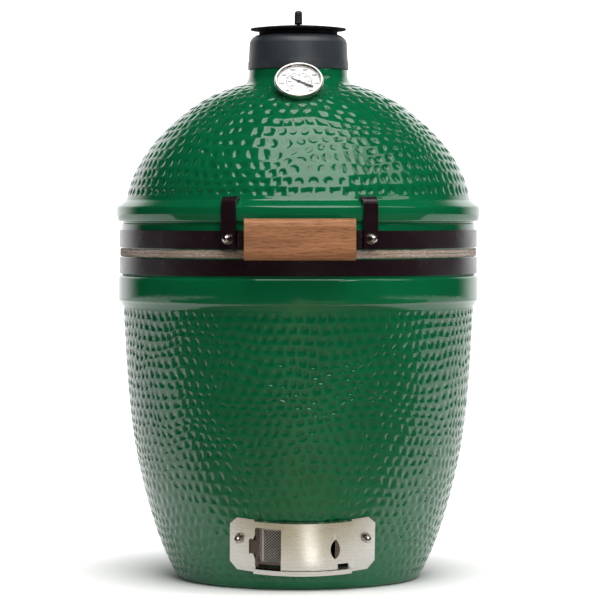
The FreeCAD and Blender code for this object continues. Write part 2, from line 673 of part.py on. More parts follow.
def fire_grate():
    """A cast-iron disc with rings of round air holes and a stiffening rib below."""
    z = grate_ledge_z + touch
    grate = disc(grate_r, z, z + 7).fuse(ring(58, 64, z - 6, z + 0.5)).removeSplitter()
    for ring_r, count, hole_r in ((0.0, 1, 6.5), (25.0, 6, 6.5), (46.0, 12, 6.5), (77.0, 16, 7.5)):
        for i in range(count):
            a = 2 * math.pi * i / count
            grate = grate.cut(disc(hole_r, z - 8, z + 8, ring_r * math.cos(a), ring_r * math.sin(a)))
    return grate


def cooking_grid():
    """Straight wires welded across a ring and two cross bars."""
    z_ring = fire_ring_z[1] + touch + grid_rod
    wire_z = z_ring + grid_rod + grid_wire - 0.6
    ring_r = grid_r - grid_rod
    pieces = [Part.makeTorus(ring_r, grid_rod, V(0, 0, z_ring), Z_AXIS)]
    for y in (-75.0, 75.0):
        half = math.sqrt(ring_r ** 2 - y ** 2)
        pieces.append(rod(grid_rod, V(-half, y, z_ring), V(half, y, z_ring)))
    for i in range(grid_wires):
        x = (i - (grid_wires - 1) / 2) * grid_pitch
        half = math.sqrt(grid_r ** 2 - x * x) - 1.0
        pieces.append(rod(grid_wire, V(x, -half, wire_z), V(x, half, wire_z)))
    return pieces[0].multiFuse(pieces[1:])


def build():
    save("base_shell", base_shell())
    save("base_gasket", felt(base_rim_z))
    save("base_band", band(*base_band_z))
    save("dome_shell", dome_shell())
    save("dome_gasket", felt(dome_rim_z - gasket))
    save("dome_band", band(*dome_band_z))

    for name, z_range, nut_x in (("base", base_band_z, base_ear_x - plate - touch),
                                 ("dome", dome_band_z, dome_ear_x - plate - touch)):
        z_mid = sum(z_range) / 2
        bolt, nut = clamp_bolt(z_mid), clamp_nut(z_mid, nut_x)
        save(f"{name}_clamp_bolts", bolt, mirrored(bolt))
        save(f"{name}_clamp_nuts", nut, mirrored(nut))
    save("base_hinge_bracket", base_hinge_bracket())
    save("dome_hinge_bracket", dome_hinge_bracket())
    save("hinge_pin", hinge_pin())
    save("hinge_pin_nut", hinge_pin_nut())
    save("spring_rod_lower", cross_rod(spring_rod_r, base_ear_x + 3, *lower_rod))
    save("spring_rod_upper", cross_rod(spring_rod_r, dome_ear_x + 1, *upper_rod))
    save("spring_left", spring(-spring_x))
    save("spring_right", spring(spring_x))

    save("handle_strap_left", handle_strap(-1))
    save("handle_strap_right", handle_strap(1))
    save("handle_bracket", handle_bracket())
    save("handle_grip", handle_grip())
    save("handle_screws", wood_screw(-screw_spacing / 2), wood_screw(screw_spacing / 2))
    foot_top = band_outer_r + touch + plate
    save("handle_studs", *front_pair(disc(3.0, 0, 17), band_outer_r + 0.02, handle_z, handle_stud_deg))
    save("handle_spacers", *front_pair(ring(3.3, 7.0, 0, strap_r - foot_top - 0.2), foot_top + 0.1, handle_z,
                                       handle_stud_deg))
    washer_r = strap_r + strap_thick + 0.1
    save("handle_washers", *front_pair(ring(3.3, 6.9, 0, 1.2), washer_r, handle_z, handle_stud_deg))
    nut = cap_nut(11.0).cut(disc(3.05, -1, 7.8))
    save("handle_cap_nuts", *front_pair(nut, washer_r + 1.3, handle_z, handle_stud_deg))

    save("gauge_case", gauge_case())
    save("gauge_bezel", gauge_bezel())
    save("gauge_dial", on_gauge(ring(1.6, case_r - 1.3, -5.8, -5.2)))
    save("gauge_lens", on_gauge(disc(case_r, -2.95, -1.75)))
    save("gauge_stem", on_gauge(disc(stem_r, -stem_length, -6.4).fuse(disc(0.9, -6.5, -4.8))))
    save("gauge_clip", on_gauge(ring(stem_r + 0.05, 12.0, -56.0, -55.2)))
    save("gauge_pointer", gauge_pointer())

    save("cap_body", cap_body())
    save("cap_gasket", ring(spigot_r + 0.1, spigot_r + 1.95, neck_ledge_z + 1, spigot_top_z - 2))
    pin_top = cover_z + cover_thick + touch
    save("cap_pivot_pin", disc(3.0, 664.0, pin_top + 0.5, 0, cap_pivot_y).fuse(
        disc(5.6, pin_top, pin_top + 3.2, 0, cap_pivot_y)).cut(block(-5, 5, cap_pivot_y - 0.6, cap_pivot_y + 0.6,
                                                                 pin_top + 2, pin_top + 5)))
    save("cap_cover", cap_cover())
    rivet = disc(3.0, cover_z + 0.2, rivet_seat_z + 1).fuse(disc(5.8, cover_z + 0.2, cover_z + 1.7))
    save("cap_rivet", rivet.fuse(disc(5.6, rivet_seat_z + 0.1, rivet_seat_z + 2.5)))
    save("cap_wheel", cap_wheel())
    save("grip_sleeve", grip_sleeve())

    save("draft_frame", draft_frame())
    washer_low = strip_lift + sheet + 0.1
    save("draft_studs", *draft_pair(disc(3.0, -14, washer_low + 7)))
    save("draft_washers", *draft_pair(ring(3.3, 6.4, washer_low, washer_low + 1.0)))
    draft_nut = cap_nut(9.5).cut(disc(3.05, -1, washer_low + 4.5))
    draft_nut.translate(V(0, 0, washer_low + 1.1))
    save("draft_cap_nuts", *draft_pair(draft_nut))
    save("draft_door", draft_door())
    save("screen_frame", screen_frame())
    save("screen_mesh", screen_mesh())

    save("fire_box", fire_box())
    save("fire_ring", fire_ring())
    save("fire_grate", fire_grate())
    save("cooking_grid", cooking_grid())


build()
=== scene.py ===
"""The looks of the kamado grill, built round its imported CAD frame.

The glazed shells, felt gaskets, wire cloth and gauge dial are new pieces. The metal, wood and clay pieces are the
frame's own solids with eased edges. Lengths are in metres, +Z is up and the front faces -Y.
"""

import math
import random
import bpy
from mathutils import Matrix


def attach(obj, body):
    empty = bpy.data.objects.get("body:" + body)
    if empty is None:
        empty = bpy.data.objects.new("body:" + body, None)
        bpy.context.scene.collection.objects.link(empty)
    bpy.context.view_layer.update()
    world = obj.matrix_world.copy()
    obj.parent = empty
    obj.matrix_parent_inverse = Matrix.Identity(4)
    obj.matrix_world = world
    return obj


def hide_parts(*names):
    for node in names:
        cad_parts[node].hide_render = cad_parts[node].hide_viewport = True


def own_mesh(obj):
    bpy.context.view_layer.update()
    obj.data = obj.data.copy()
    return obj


bl_info = {
    "name": "Kamado grill",
    "version": (1, 0, 0),
    "blender": (4, 5, 0),
    "location": "3D View > Sidebar > Kamado",
    "description": "Builds the visible pieces and finishes of a kamado grill on its CAD frame",
    "category": "Object",
}

import bpy
import numpy as np
from mathutils import Matrix, Vector, noise

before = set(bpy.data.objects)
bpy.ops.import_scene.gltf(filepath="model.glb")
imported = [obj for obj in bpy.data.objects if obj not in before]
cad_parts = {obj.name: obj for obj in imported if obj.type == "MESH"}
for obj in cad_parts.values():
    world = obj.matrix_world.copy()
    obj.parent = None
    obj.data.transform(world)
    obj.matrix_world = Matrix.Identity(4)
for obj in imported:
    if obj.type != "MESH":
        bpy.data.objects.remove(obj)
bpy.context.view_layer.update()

FULL_TURN = 2 * math.pi
UP = Vector((0, 0, 1))


# ---- sizes and colours that a user would change ----
def length(name, description, default):
    return bpy.props.FloatProperty(name=name, description=description, default=default, min=0.0, unit="LENGTH",
                                   precision=4)


def share(name, description, default):
    return bpy.props.FloatProperty(name=name, description=description, default=default, min=0.0, max=1.0,
                                   subtype="FACTOR")


def colour(name, description, default):
    return bpy.props.FloatVectorProperty(name=name, description=description, default=default, size=3, min=0.0,
                                         max=1.0, subtype="COLOR")


class KAMADO_PG_sizes(bpy.types.PropertyGroup):
    """Sizes of the visible detail"""
    base_dimple: length("Base dimple spacing", "Distance between dimples on the base", 0.0136)
    dome_dimple: length("Dome dimple spacing", "Distance between dimples on the dome", 0.0152)
    dimple_share: share("Dimple share", "Radius of a dimple as a share of the spacing", 0.43)
    dimple_depth: share("Dimple depth", "Depth of a dimple as a share of its radius", 0.235)
    wire_pitch: length("Wire pitch", "Distance between the wires of the screen", 0.0027)
    wire_radius: length("Wire radius", "Radius of the wires of the screen", 0.00028)
    edge: length("Edge rounding", "Rounding on the edges of metal pieces", 0.0005)


class KAMADO_PG_colours(bpy.types.PropertyGroup):
    """Colours of the finishes"""
    glaze: colour("Glaze", "The shells' green glaze", (0.0026, 0.109, 0.040))
    clay: colour("Clay", "Unglazed ceramic inside the grill", (0.46, 0.36, 0.27))
    felt: colour("Felt", "Gaskets between the shells", (0.46, 0.355, 0.295))
    powder_coat: colour("Powder coat", "Bands, straps and hinge plates", (0.0100, 0.0036, 0.0062))
    cast_paint: colour("Cast paint", "The vent cap's collar", (0.024, 0.030, 0.036))
    wood: colour("Wood", "The grip", (0.36, 0.160, 0.076))
    stainless: colour("Stainless", "Draft doors and their frame", (0.60, 0.585, 0.555))


def sizes():
    return bpy.context.scene.kamado_sizes


def colours():
    return bpy.context.scene.kamado_colours


# ---- shader maths ----
class Flow:
    """A shader socket that adds Math nodes when it is used in a sum."""

    def __init__(self, recipe, socket):
        self.recipe = recipe
        self.socket = socket

    def maths(self, operation, *values):
        return self.recipe.node("ShaderNodeMath", {"operation": operation}, dict(enumerate(values)))

    def __add__(self, other):
        return self.maths("ADD", self, other)

    __radd__ = __add__

    def __sub__(self, other):
        return self.maths("SUBTRACT", self, other)

    def __rsub__(self, other):
        return self.maths("SUBTRACT", other, self)

    def __mul__(self, other):
        return self.maths("MULTIPLY", self, other)

    __rmul__ = __mul__

    def __pow__(self, other):
        return self.maths("POWER", self, other)

    def clip(self, low, high):
        """0 below low, 1 above high, and a straight line between."""
        return self.recipe.node("ShaderNodeMapRange", {"clamp": True},
                                {"Value": self, "From Min": low, "From Max": high})


class Finish:
    """One material, or the world, and the nodes that make it."""

    def __init__(self, name, owner=None):
        self.material = owner or bpy.data.materials.new(name)
        self.material.use_nodes = True
        self.tree = self.material.node_tree
        self.tree.nodes.clear()
        self.place = self.node("ShaderNodeTexCoord", output="Object")

    def node(self, kind, settings=None, inputs=None, output=0):
        """Adds a node of that type with its settings, and fills its sockets with values or links."""
        made = self.tree.nodes.new(kind)
        for name, value in (settings or {}).items():
            setattr(made, name, value)
        for name, value in (inputs or {}).items():
            socket = made.inputs[name]
            if isinstance(value, Flow):
                self.tree.links.new(value.socket, socket)
            elif value is not None:
                socket.default_value = (*value, 1.0) if socket.type == "RGBA" and len(value) == 3 else value
        return Flow(self, made.outputs[output]) if made.outputs else None

    def stretched(self, scale):
        """The place on the piece, scaled along each axis."""
        return self.node("ShaderNodeMapping", {}, {"Vector": self.place, "Scale": scale})

    def noise(self, scale, detail=2.0, rough=0.5, distortion=0.0, place=None):
        return self.node("ShaderNodeTexNoise", {}, {"Vector": place or self.place, "Scale": scale, "Detail": detail,
                                                    "Roughness": rough, "Distortion": distortion})

    def cells(self, scale):
        return self.node("ShaderNodeTexVoronoi", {"feature": "F1"}, {"Vector": self.place, "Scale": scale},
                         output="Distance")

    def attribute(self, name):
        return self.node("ShaderNodeAttribute", {"attribute_name": name}, output="Fac")

    def along(self, axis):
        """X, Y or Z of the place on the piece."""
        return self.node("ShaderNodeSeparateXYZ", {}, {"Vector": self.place}, output=axis)

    def blend(self, factor, first, second):
        """A mix of two colours."""
        return self.node("ShaderNodeMix", {"data_type": "RGBA"}, {0: factor, 6: first, 7: second}, output=2)

    def bump(self, relief, distance, strength=1.0, under=None):
        """Relief of that height in metres, on top of another bump if one is given."""
        return self.node("ShaderNodeBump", {}, {"Height": relief, "Distance": distance, "Strength": strength,
                                                "Normal": under})

    def shader(self, **sockets):
        """The main shader. Names are its sockets with _ for a space."""
        return self.node("ShaderNodeBsdfPrincipled", {}, {n.replace("_", " "): v for n, v in sockets.items()})

    def done(self, surface):
        """The material, once that shader is its surface."""
        self.node("ShaderNodeOutputMaterial", {}, {"Surface": surface})
        return self.material

    def surface(self, **sockets):
        return self.done(self.shader(**sockets))


def tint(rgb, factor):
    """A colour made lighter or darker."""
    return tuple(min(1.0, c * factor) for c in rgb)


finishes = {}


def finish(name):
    """The named material, made the first time it is asked for."""
    if name not in finishes:
        finishes[name] = FINISH_MAKERS[name](Finish(name))
    return finishes[name]


def glaze(f):
    """Deep green glass-like glaze, a little darker where it has pooled, with painted shade behind the draft strip."""
    green = tuple(colours().glaze)
    pool = f.attribute("pool")
    cloud = f.noise(14.0, 3.0).clip(0.35, 0.7)
    speck = f.noise(900.0, 1.0).clip(0.60, 0.72)
    body = f.blend(cloud, tint(green, 0.92), tint(green, 1.10))
    body = f.blend(pool * 0.55, body, tint(green, 0.74))
    body = f.blend(speck * 0.10, body, tint(green, 0.45))
    # painted shade: the glaze behind the draft strip turns near-black brown, standing in for the shade in the gap
    soot = f.attribute("soot")
    body = f.blend(soot, body, (0.014, 0.008, 0.006))
    ripple = f.noise(95.0, 2.0) * 0.8 + f.noise(420.0, 1.0) * 0.2
    rough = 0.045 + f.noise(60.0, 2.0).clip(0.4, 0.8) * 0.05 + soot * 0.6
    return f.surface(Base_Color=body, Roughness=rough, Normal=f.bump(ripple, 0.00022, 0.45), IOR=1.52)


def clay(f):
    """Rough buff ceramic, browned by smoke in patches."""
    buff = tuple(colours().clay)
    grog = f.cells(420.0).clip(0.1, 0.55)
    smoke = f.noise(9.0, 4.0, 0.6).clip(0.45, 0.75)
    body = f.blend(grog, tint(buff, 0.72), buff)
    body = f.blend(smoke * 0.75, body, (0.075, 0.055, 0.042))
    soot = 1.0 - f.along("Z").clip(0.06, 0.20)
    body = f.blend(soot * 0.88, body, (0.020, 0.016, 0.013))
    relief = f.noise(300.0, 3.0, 0.6) * 0.7 + f.noise(1100.0, 1.0) * 0.3
    return f.surface(Base_Color=body, Roughness=0.86 + grog * 0.1, Normal=f.bump(relief, 0.0006, 0.7))


def felt(f):
    """Pressed fibre, mottled and fuzzy."""
    grey = tuple(colours().felt)
    tuft = f.noise(520.0, 4.0, 0.7)
    strand = f.noise(1.0, 4.0, 0.65, 0.4, f.stretched((260.0, 260.0, 1500.0)))
    painted_shade = f.noise(26.0, 3.0).clip(0.42, 0.68)
    body = f.blend(tuft.clip(0.35, 0.65), tint(grey, 0.42), tint(grey, 1.25))
    body = f.blend(painted_shade * 0.55, body, (0.27, 0.17, 0.10))
    relief = tuft * 0.6 + strand * 0.4
    return f.surface(Base_Color=body, Roughness=0.97, Normal=f.bump(relief, 0.0016, 0.9), Sheen_Weight=0.5,
                     Sheen_Roughness=0.5)


def powder_coat(f):
    """Satin near-black coating with a fine grain and a warm cast."""
    black = tuple(colours().powder_coat)
    grain = f.noise(1500.0, 2.0)
    wear = f.noise(45.0, 3.0).clip(0.5, 0.8)
    body = f.blend(wear, black, tint(black, 1.7))
    rough = 0.20 + wear * 0.08 + grain * 0.06
    return f.surface(Base_Color=body, Roughness=rough, Normal=f.bump(grain, 0.00012, 0.5))


def cast_paint(f):
    """Satin grey-black paint over a sand casting."""
    grey = tuple(colours().cast_paint)
    sand = f.noise(620.0, 3.0, 0.6)
    cloud = f.noise(34.0, 3.0).clip(0.4, 0.72)
    speck = f.noise(420.0, 2.0, 0.6).clip(0.56, 0.74)
    body = f.blend(cloud, tint(grey, 0.80), tint(grey, 1.15))
    body = f.blend(speck * 0.30, body, tint(grey, 2.2))
    return f.surface(Base_Color=body, Roughness=0.42 + cloud * 0.08, Normal=f.bump(sand, 0.00045, 0.6))


def wheel_paint(f):
    """The turning disc's darker and duller black."""
    sand = f.noise(900.0, 3.0, 0.6)
    body = f.blend(f.noise(60.0, 3.0).clip(0.45, 0.75), (0.004, 0.004, 0.0045), (0.012, 0.012, 0.013))
    return f.surface(Base_Color=body, Roughness=0.72 + sand * 0.08, Normal=f.bump(sand, 0.00022, 0.5),
                     Specular_IOR_Level=0.06)


def silicone(f):
    """Matte black rubber with a dusty bloom."""
    dust = f.noise(160.0, 4.0, 0.7).clip(0.45, 0.75)
    body = f.blend(dust, (0.006, 0.006, 0.0065), (0.020, 0.020, 0.021))
    return f.surface(Base_Color=body, Roughness=0.55 + dust * 0.2, Normal=f.bump(f.noise(1400.0), 0.0001, 0.4))


def iron(f):
    """Bare cast iron, grainy and slightly rusted."""
    sand = f.noise(520.0, 4.0, 0.65)
    rust = f.noise(40.0, 5.0, 0.6).clip(0.55, 0.78)
    body = f.blend(sand, (0.030, 0.028, 0.027), (0.070, 0.066, 0.062))
    body = f.blend(rust * 0.6, body, (0.15, 0.055, 0.022))
    return f.surface(Base_Color=body, Roughness=0.62 + rust * 0.25, Metallic=0.85 - rust * 0.7,
                     Normal=f.bump(sand, 0.0006, 0.7))


def brushed(f, painted_shade=None):
    """Stainless sheet brushed along its length. Painted shade darkens the pulls, or the places of a given mask."""
    steel = tuple(colours().stainless)
    painted_shade = painted_shade or f.attribute("painted_shade")
    line = f.noise(1.0, 3.0, 0.7, 0.0, f.stretched((26.0, 26.0, 3200.0)))
    smudge = f.noise(38.0, 3.0).clip(0.45, 0.75)
    body = f.blend(line.clip(0.3, 0.7), tint(steel, 0.84), tint(steel, 1.10))
    # painted shade: the masked places are darkened to near black
    body = f.blend(painted_shade * 0.92, body, (0.050, 0.032, 0.026))
    rough = 0.22 + line * 0.10 + smudge * 0.06
    return f.surface(Base_Color=body, Roughness=rough, Metallic=1.0, Normal=f.bump(line, 0.00010, 0.7))


def frame_steel(f):
    """The same sheet, with painted shade where it shows through the screen's wire cloth."""
    x, z = f.along("X"), f.along("Z")
    # painted shade: a narrow upright band of the sheet at the window's left edge, behind the wire cloth
    across = x.clip(-0.0550, -0.0540) * (1.0 - x.clip(-0.0460, -0.0450))
    return brushed(f, across * z.clip(0.030, 0.032) * (1.0 - z.clip(0.078, 0.080)))


def wire_steel(f):
    """Drawn wire, brighter than the sheet round it."""
    draw = f.noise(900.0, 2.0)
    body = f.blend(draw, (0.66, 0.63, 0.60), (0.86, 0.83, 0.80))
    return f.surface(Base_Color=body, Roughness=0.34 + draw * 0.1, Metallic=0.55)


def polished(f):
    """Bright plated metal with faint hairlines and a few finger marks."""
    hair = f.noise(1.0, 2.0, 0.6, 0.0, f.stretched((90.0, 2400.0, 300.0)))
    smudge = f.noise(90.0, 3.0).clip(0.5, 0.8)
    body = f.blend(smudge, (0.50, 0.46, 0.45), (0.34, 0.31, 0.30))
    return f.surface(Base_Color=body, Roughness=0.14 + smudge * 0.14, Metallic=1.0, Normal=f.bump(hair, 0.00002, 0.3))


def zinc(f):
    """Plated fasteners, springs and rods with a pale spangle."""
    spangle = f.cells(480.0)
    dull = f.noise(120.0, 3.0).clip(0.4, 0.7)
    body = f.blend(spangle, (0.42, 0.42, 0.43), (0.62, 0.62, 0.62))
    body = f.blend(dull * 0.4, body, (0.30, 0.29, 0.28))
    return f.surface(Base_Color=body, Roughness=0.28 + dull * 0.18, Metallic=1.0, Normal=f.bump(spangle, 0.00004, 0.4))


def wood(f):
    """Oiled hardwood with long pores along the grip."""
    brown = tuple(colours().wood)
    wander = f.noise(1.0, 3.0, 0.55, 0.6, f.stretched((7.0, 60.0, 60.0)))
    ring = f.node("ShaderNodeTexWave", {"wave_type": "BANDS", "bands_direction": "Z", "wave_profile": "SIN"},
                  {"Vector": f.stretched((0.16, 0.7, 1.0)), "Scale": 58.0, "Distortion": 5.5, "Detail": 3.0,
                   "Detail Scale": 1.3, "Detail Roughness": 0.6}, output="Fac")
    pore = f.noise(1.0, 4.0, 0.7, 0.2, f.stretched((70.0, 1000.0, 1100.0))).clip(0.50, 0.70)
    fleck = f.noise(1.0, 3.0, 0.7, 0.0, f.stretched((20.0, 420.0, 420.0))).clip(0.42, 0.66)
    body = f.blend(wander.clip(0.35, 0.68), tint(brown, 0.68), tint(brown, 1.14))
    body = f.blend(ring * 0.45, body, tint(brown, 0.55))
    body = f.blend(fleck * 0.5, body, tint(brown, 1.35))
    body = f.blend(pore * 0.9, body, tint(brown, 0.22))
    relief = 1.0 - pore
    return f.surface(Base_Color=body, Roughness=0.58 + pore * 0.2, Normal=f.bump(relief, 0.00035, 0.5),
                     Specular_IOR_Level=0.25)


def dial_paint(f):
    """White printed dial."""
    grain = f.noise(600.0, 2.0)
    body = f.blend(grain.clip(0.4, 0.7), (0.84, 0.86, 0.86), (0.90, 0.91, 0.90))
    return f.surface(Base_Color=body, Roughness=0.32 + grain * 0.1)


def ink(f):
    """Printed figures and the needle."""
    grain = f.noise(2400.0, 2.0)
    body = f.blend(grain.clip(0.35, 0.7), (0.025, 0.02, 0.022), (0.07, 0.055, 0.055))
    return f.surface(Base_Color=body, Roughness=0.5 + grain * 0.1)


def window_glass(f):
    """Clear glass with a trace of dust."""
    dust = f.noise(260.0, 3.0).clip(0.5, 0.85)
    return f.surface(Base_Color=(1.0, 1.0, 1.0), Roughness=0.01 + dust * 0.04, Transmission_Weight=1.0, IOR=1.12)


FINISH_MAKERS = {
    "green_glaze": glaze, "fired_clay": clay, "felt": felt, "black_steel": powder_coat, "cast_dark": cast_paint,
    "wheel_black": wheel_paint, "silicone": silicone, "cast_iron": iron, "brushed_steel": brushed,
    "wire_steel": wire_steel,
    "frame_steel": frame_steel,
    "bright_steel": polished, "zinc_steel": zinc, "wood": wood, "dial_white": dial_paint, "needle": ink,
    "lens": window_glass,
}


# ---- mesh helpers ----
def new_piece(name, vertices, faces):
    mesh = bpy.data.meshes.new(name)
    mesh.from_pydata([tuple(v) for v in vertices], [], faces)
    mesh.validate()
    piece = bpy.data.objects.new(name, mesh)
    bpy.context.scene.collection.objects.link(piece)
    return piece


def only(piece):
    """Makes piece the one selected and active object."""
    bpy.ops.object.select_all(action="DESELECT")
    piece.select_set(True)
    bpy.context.view_layer.objects.active = piece


def edited(piece, *steps):
    """Runs edit-mode operators on the whole of piece. Each step is an operator and its settings."""
    only(piece)
    bpy.ops.object.mode_set(mode="EDIT")
    for operator, settings in steps:
        bpy.ops.mesh.select_all(action="SELECT")
        operator(**settings)
    bpy.ops.object.mode_set(mode="OBJECT")


def modified(piece, kind, **settings):
    """Adds a modifier and applies it."""
    only(piece)
    modifier = piece.modifiers.new(kind.title(), kind)
    for name, value in settings.items():
        setattr(modifier, name, value)
    bpy.ops.object.modifier_apply(modifier=modifier.name)


def smooth(piece, degrees=38.0):
    only(piece)
    bpy.ops.object.shade_smooth_by_angle(angle=math.radians(degrees))


def mark(piece, name, domain, values):
    """Stores a number for each vertex or face, which a finish reads."""
    attribute = piece.data.attributes.new(name, "FLOAT", domain)
    attribute.data.foreach_set("value", np.array(values, np.float32))


def paint(piece, *names):
    piece.data.materials.clear()
    for name in names:
        piece.data.materials.append(finish(name))


def settle(piece, body, slot, *nodes):
    """Hands a finished piece to the frame: what it moves with and the CAD nodes it stands for, which it hides. Its
    finish, slot, is not used.
    """
    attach(piece, body)
    if nodes:
        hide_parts(*nodes)
    return piece


def eased_copy(node, width, even=True):
    """A copy of a CAD node, merged, with its sharp edges rounded and its shading evened."""
    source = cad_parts[node]
    piece = bpy.data.objects.new(node + "_eased", source.data.copy())
    bpy.context.scene.collection.objects.link(piece)
    edited(piece, (bpy.ops.mesh.customdata_custom_splitnormals_clear, {}),
           (bpy.ops.mesh.remove_doubles, {"threshold": 0.00001}))
    if width > 0:
        edited(piece, (bpy.ops.mesh.dissolve_limited, {"angle_limit": math.radians(0.4)}))
        modified(piece, "BEVEL", width=width, segments=2, limit_method="ANGLE",
                 angle_limit=math.radians(38.0), use_clamp_overlap=True, miter_outer="MITER_ARC")
    smooth(piece)
    if even:
        modified(piece, "WEIGHTED_NORMAL", keep_sharp=True)
    return piece


def eased(node, body, slot, width, material=None, even=True):
    piece = eased_copy(node, width, even)
    paint(piece, material or slot)
    return settle(piece, body, slot, node)


def rounded(points, radius, steps=4):
    """A polyline with its inner corners rounded, as a list of (r, z)."""
    made = [points[0]]
    for before, corner, after in zip(points, points[1:], points[2:]):
        b, c, a = Vector(before), Vector(corner), Vector(after)
        reach = min(radius, (b - c).length * 0.45, (a - c).length * 0.45)
        start, end = c + (b - c).normalized() * reach, c + (a - c).normalized() * reach
        for i in range(steps + 1):
            t = i / steps
            made.append(tuple(start * (1 - t) ** 2 + c * (2 * t * (1 - t)) + end * t ** 2))
    return made + [points[-1]]


# ---- glazed shells ----
WALL = 0.024
BASE_RIM, DOME_RIM, RIM_OUT, RIM_IN = 0.4105, 0.4184, 0.2257, 0.200
AROUND = 160                # vertices round a plain ring
SPOKES = 12                 # vertices round a dimple
ROW_SHARE = 0.90            # height of a row of dimples as a share of their spacing
WANDER_SIZE = 0.055         # width of the waves in the rows
DIMPLE_RINGS = ((1.0, 0.0), (0.80, 0.30), (0.45, 0.82))     # shares of a dimple's radius and depth
MOUTH_PLACE, MOUTH_SIZE, MOUTH_EASE = (0, -0.170, 0.0545), (0.128, 0.140, 0.049), 0.006
GAP_SHADE_LOW, GAP_SHADE_HIGH = Vector((-0.066, -0.3, 0.022)), Vector((0.066, -0.1, 0.088))   # painted shade on the glaze behind the strip


class Skin:
    """A mesh that is built up from rings round the Z axis."""

    def __init__(self):
        self.vertices = []
        self.faces = []
        self.inner = []
        self.pool = []

    def vertex(self, angle, r, z, pool=0.0):
        self.vertices.append((r * math.cos(angle), r * math.sin(angle), z))
        self.pool.append(pool)
        return len(self.vertices) - 1

    def ring(self, angles, r, z):
        """A closed ring of (angle, vertex) pairs in order."""
        return [(a, self.vertex(a, r, z)) for a in angles]

    def face(self, corners, inner=False):
        self.faces.append(corners)
        self.inner.append(inner)

    def stitch(self, lower, upper, inner=False):
        """Fills between two closed rings that may have different numbers of vertices."""
        i = j = 0
        n, m = len(lower), len(upper)
        while i < n or j < m:
            low_next = lower[(i + 1) % n][0] + (FULL_TURN if i + 1 >= n else 0)
            up_next = upper[(j + 1) % m][0] + (FULL_TURN if j + 1 >= m else 0)
            a, b = lower[i % n][1], upper[j % m][1]
            if j >= m or (i < n and low_next <= up_next):
                self.face((a, lower[(i + 1) % n][1], b), inner)
                i += 1
            else:
                self.face((a, upper[(j + 1) % m][1], b), inner)
                j += 1

    def lathe(self, points, start, count, inner=False):
        """Carries the ring start along the (r, z) points. Points on the axis close the skin."""
        angles = [FULL_TURN * (k + 0.5) / count for k in range(count)]
        ring = start
        for r, z in points:
            if r < 1e-6:
                tip = self.vertex(0.0, 0.0, z)
                for (_, a), (_, b) in zip(ring, ring[1:] + ring[:1]):
                    self.face((a, b, tip), inner)
                return ring
            following = self.ring(angles, r, z)
            if len(ring) == count and abs(ring[0][0] - following[0][0]) < 1e-9:
                pairs = list(zip(ring, following))
                for (p, q), (s, t) in zip(pairs, pairs[1:] + pairs[:1]):
                    self.face((p[1], s[1], t[1], q[1]), inner)
            else:
                self.stitch(ring, following, inner)
            ring = following
        return ring


class Outline:
    """The outside of a shell as a curve: radius and height at a distance along it."""

    def __init__(self, node, low, high):
        middle = Vector((0, 0, (low + high) / 2))
        found = []
        for elevation in np.radians(np.linspace(-85.0, 85.0, 900)):
            outward = Vector((math.cos(elevation), 0, math.sin(elevation)))
            hit, place, _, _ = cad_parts[node].ray_cast(middle + outward, -outward, distance=0.99)
            if hit and low - 0.003 < place.z < high + 0.003:
                found.append((place.z, place.x))
        z, r = np.array(sorted(found)).T
        heights = np.linspace(low, high, 400)
        radii = np.interp(heights, z, r)
        steps = np.hypot(np.diff(radii), np.diff(heights))
        self.distance = np.concatenate([[0.0], np.cumsum(steps)])
        self.radii, self.heights = radii, heights
        self.length = self.distance[-1]

    def at(self, s):
        """(r, z) and the outward normal (nr, nz) at distance s."""
        r, z = np.interp(s, self.distance, self.radii), np.interp(s, self.distance, self.heights)
        step = self.length * 0.01
        dr = np.interp(s + step, self.distance, self.radii) - np.interp(s - step, self.distance, self.radii)
        dz = np.interp(s + step, self.distance, self.heights) - np.interp(s - step, self.distance, self.heights)
        size = math.hypot(dr, dz)
        return r, z, dz / size, -dr / size


class Wander:
    """Carries a place on the outline sideways and along by a smooth noise, so that rows of dimples aren't straight."""

    def __init__(self, outline, pitch, seed):
        self.outline, self.pitch, self.seed = outline, pitch, seed

    def place(self, angle, s, sink=0.0):
        """(angle, r, z) of the surface at that angle and distance, sunk by that depth."""
        pitch, length = self.pitch, self.outline.length
        spot = Vector((math.cos(angle), math.sin(angle), 0)) * (WANDER_SIZE / pitch)
        spot.z = s * 0.30 / pitch + self.seed
        fade = min(1.0, s / (3.5 * pitch), (length - s) / (3.5 * pitch))
        along = noise.noise(spot * 0.4) * 1.2 + noise.noise(spot) * 0.50 + noise.noise(spot * 2.7) * 0.26
        round_it = noise.noise(spot + Vector((40, 0, 0))) * 0.50 + noise.noise(spot * 2.7 + Vector((70, 0, 0))) * 0.22
        r, z, nr, nz = self.outline.at(min(length, max(0.0, s + along * pitch * fade)))
        return angle + round_it * pitch / r, r - nr * sink, z - nz * sink


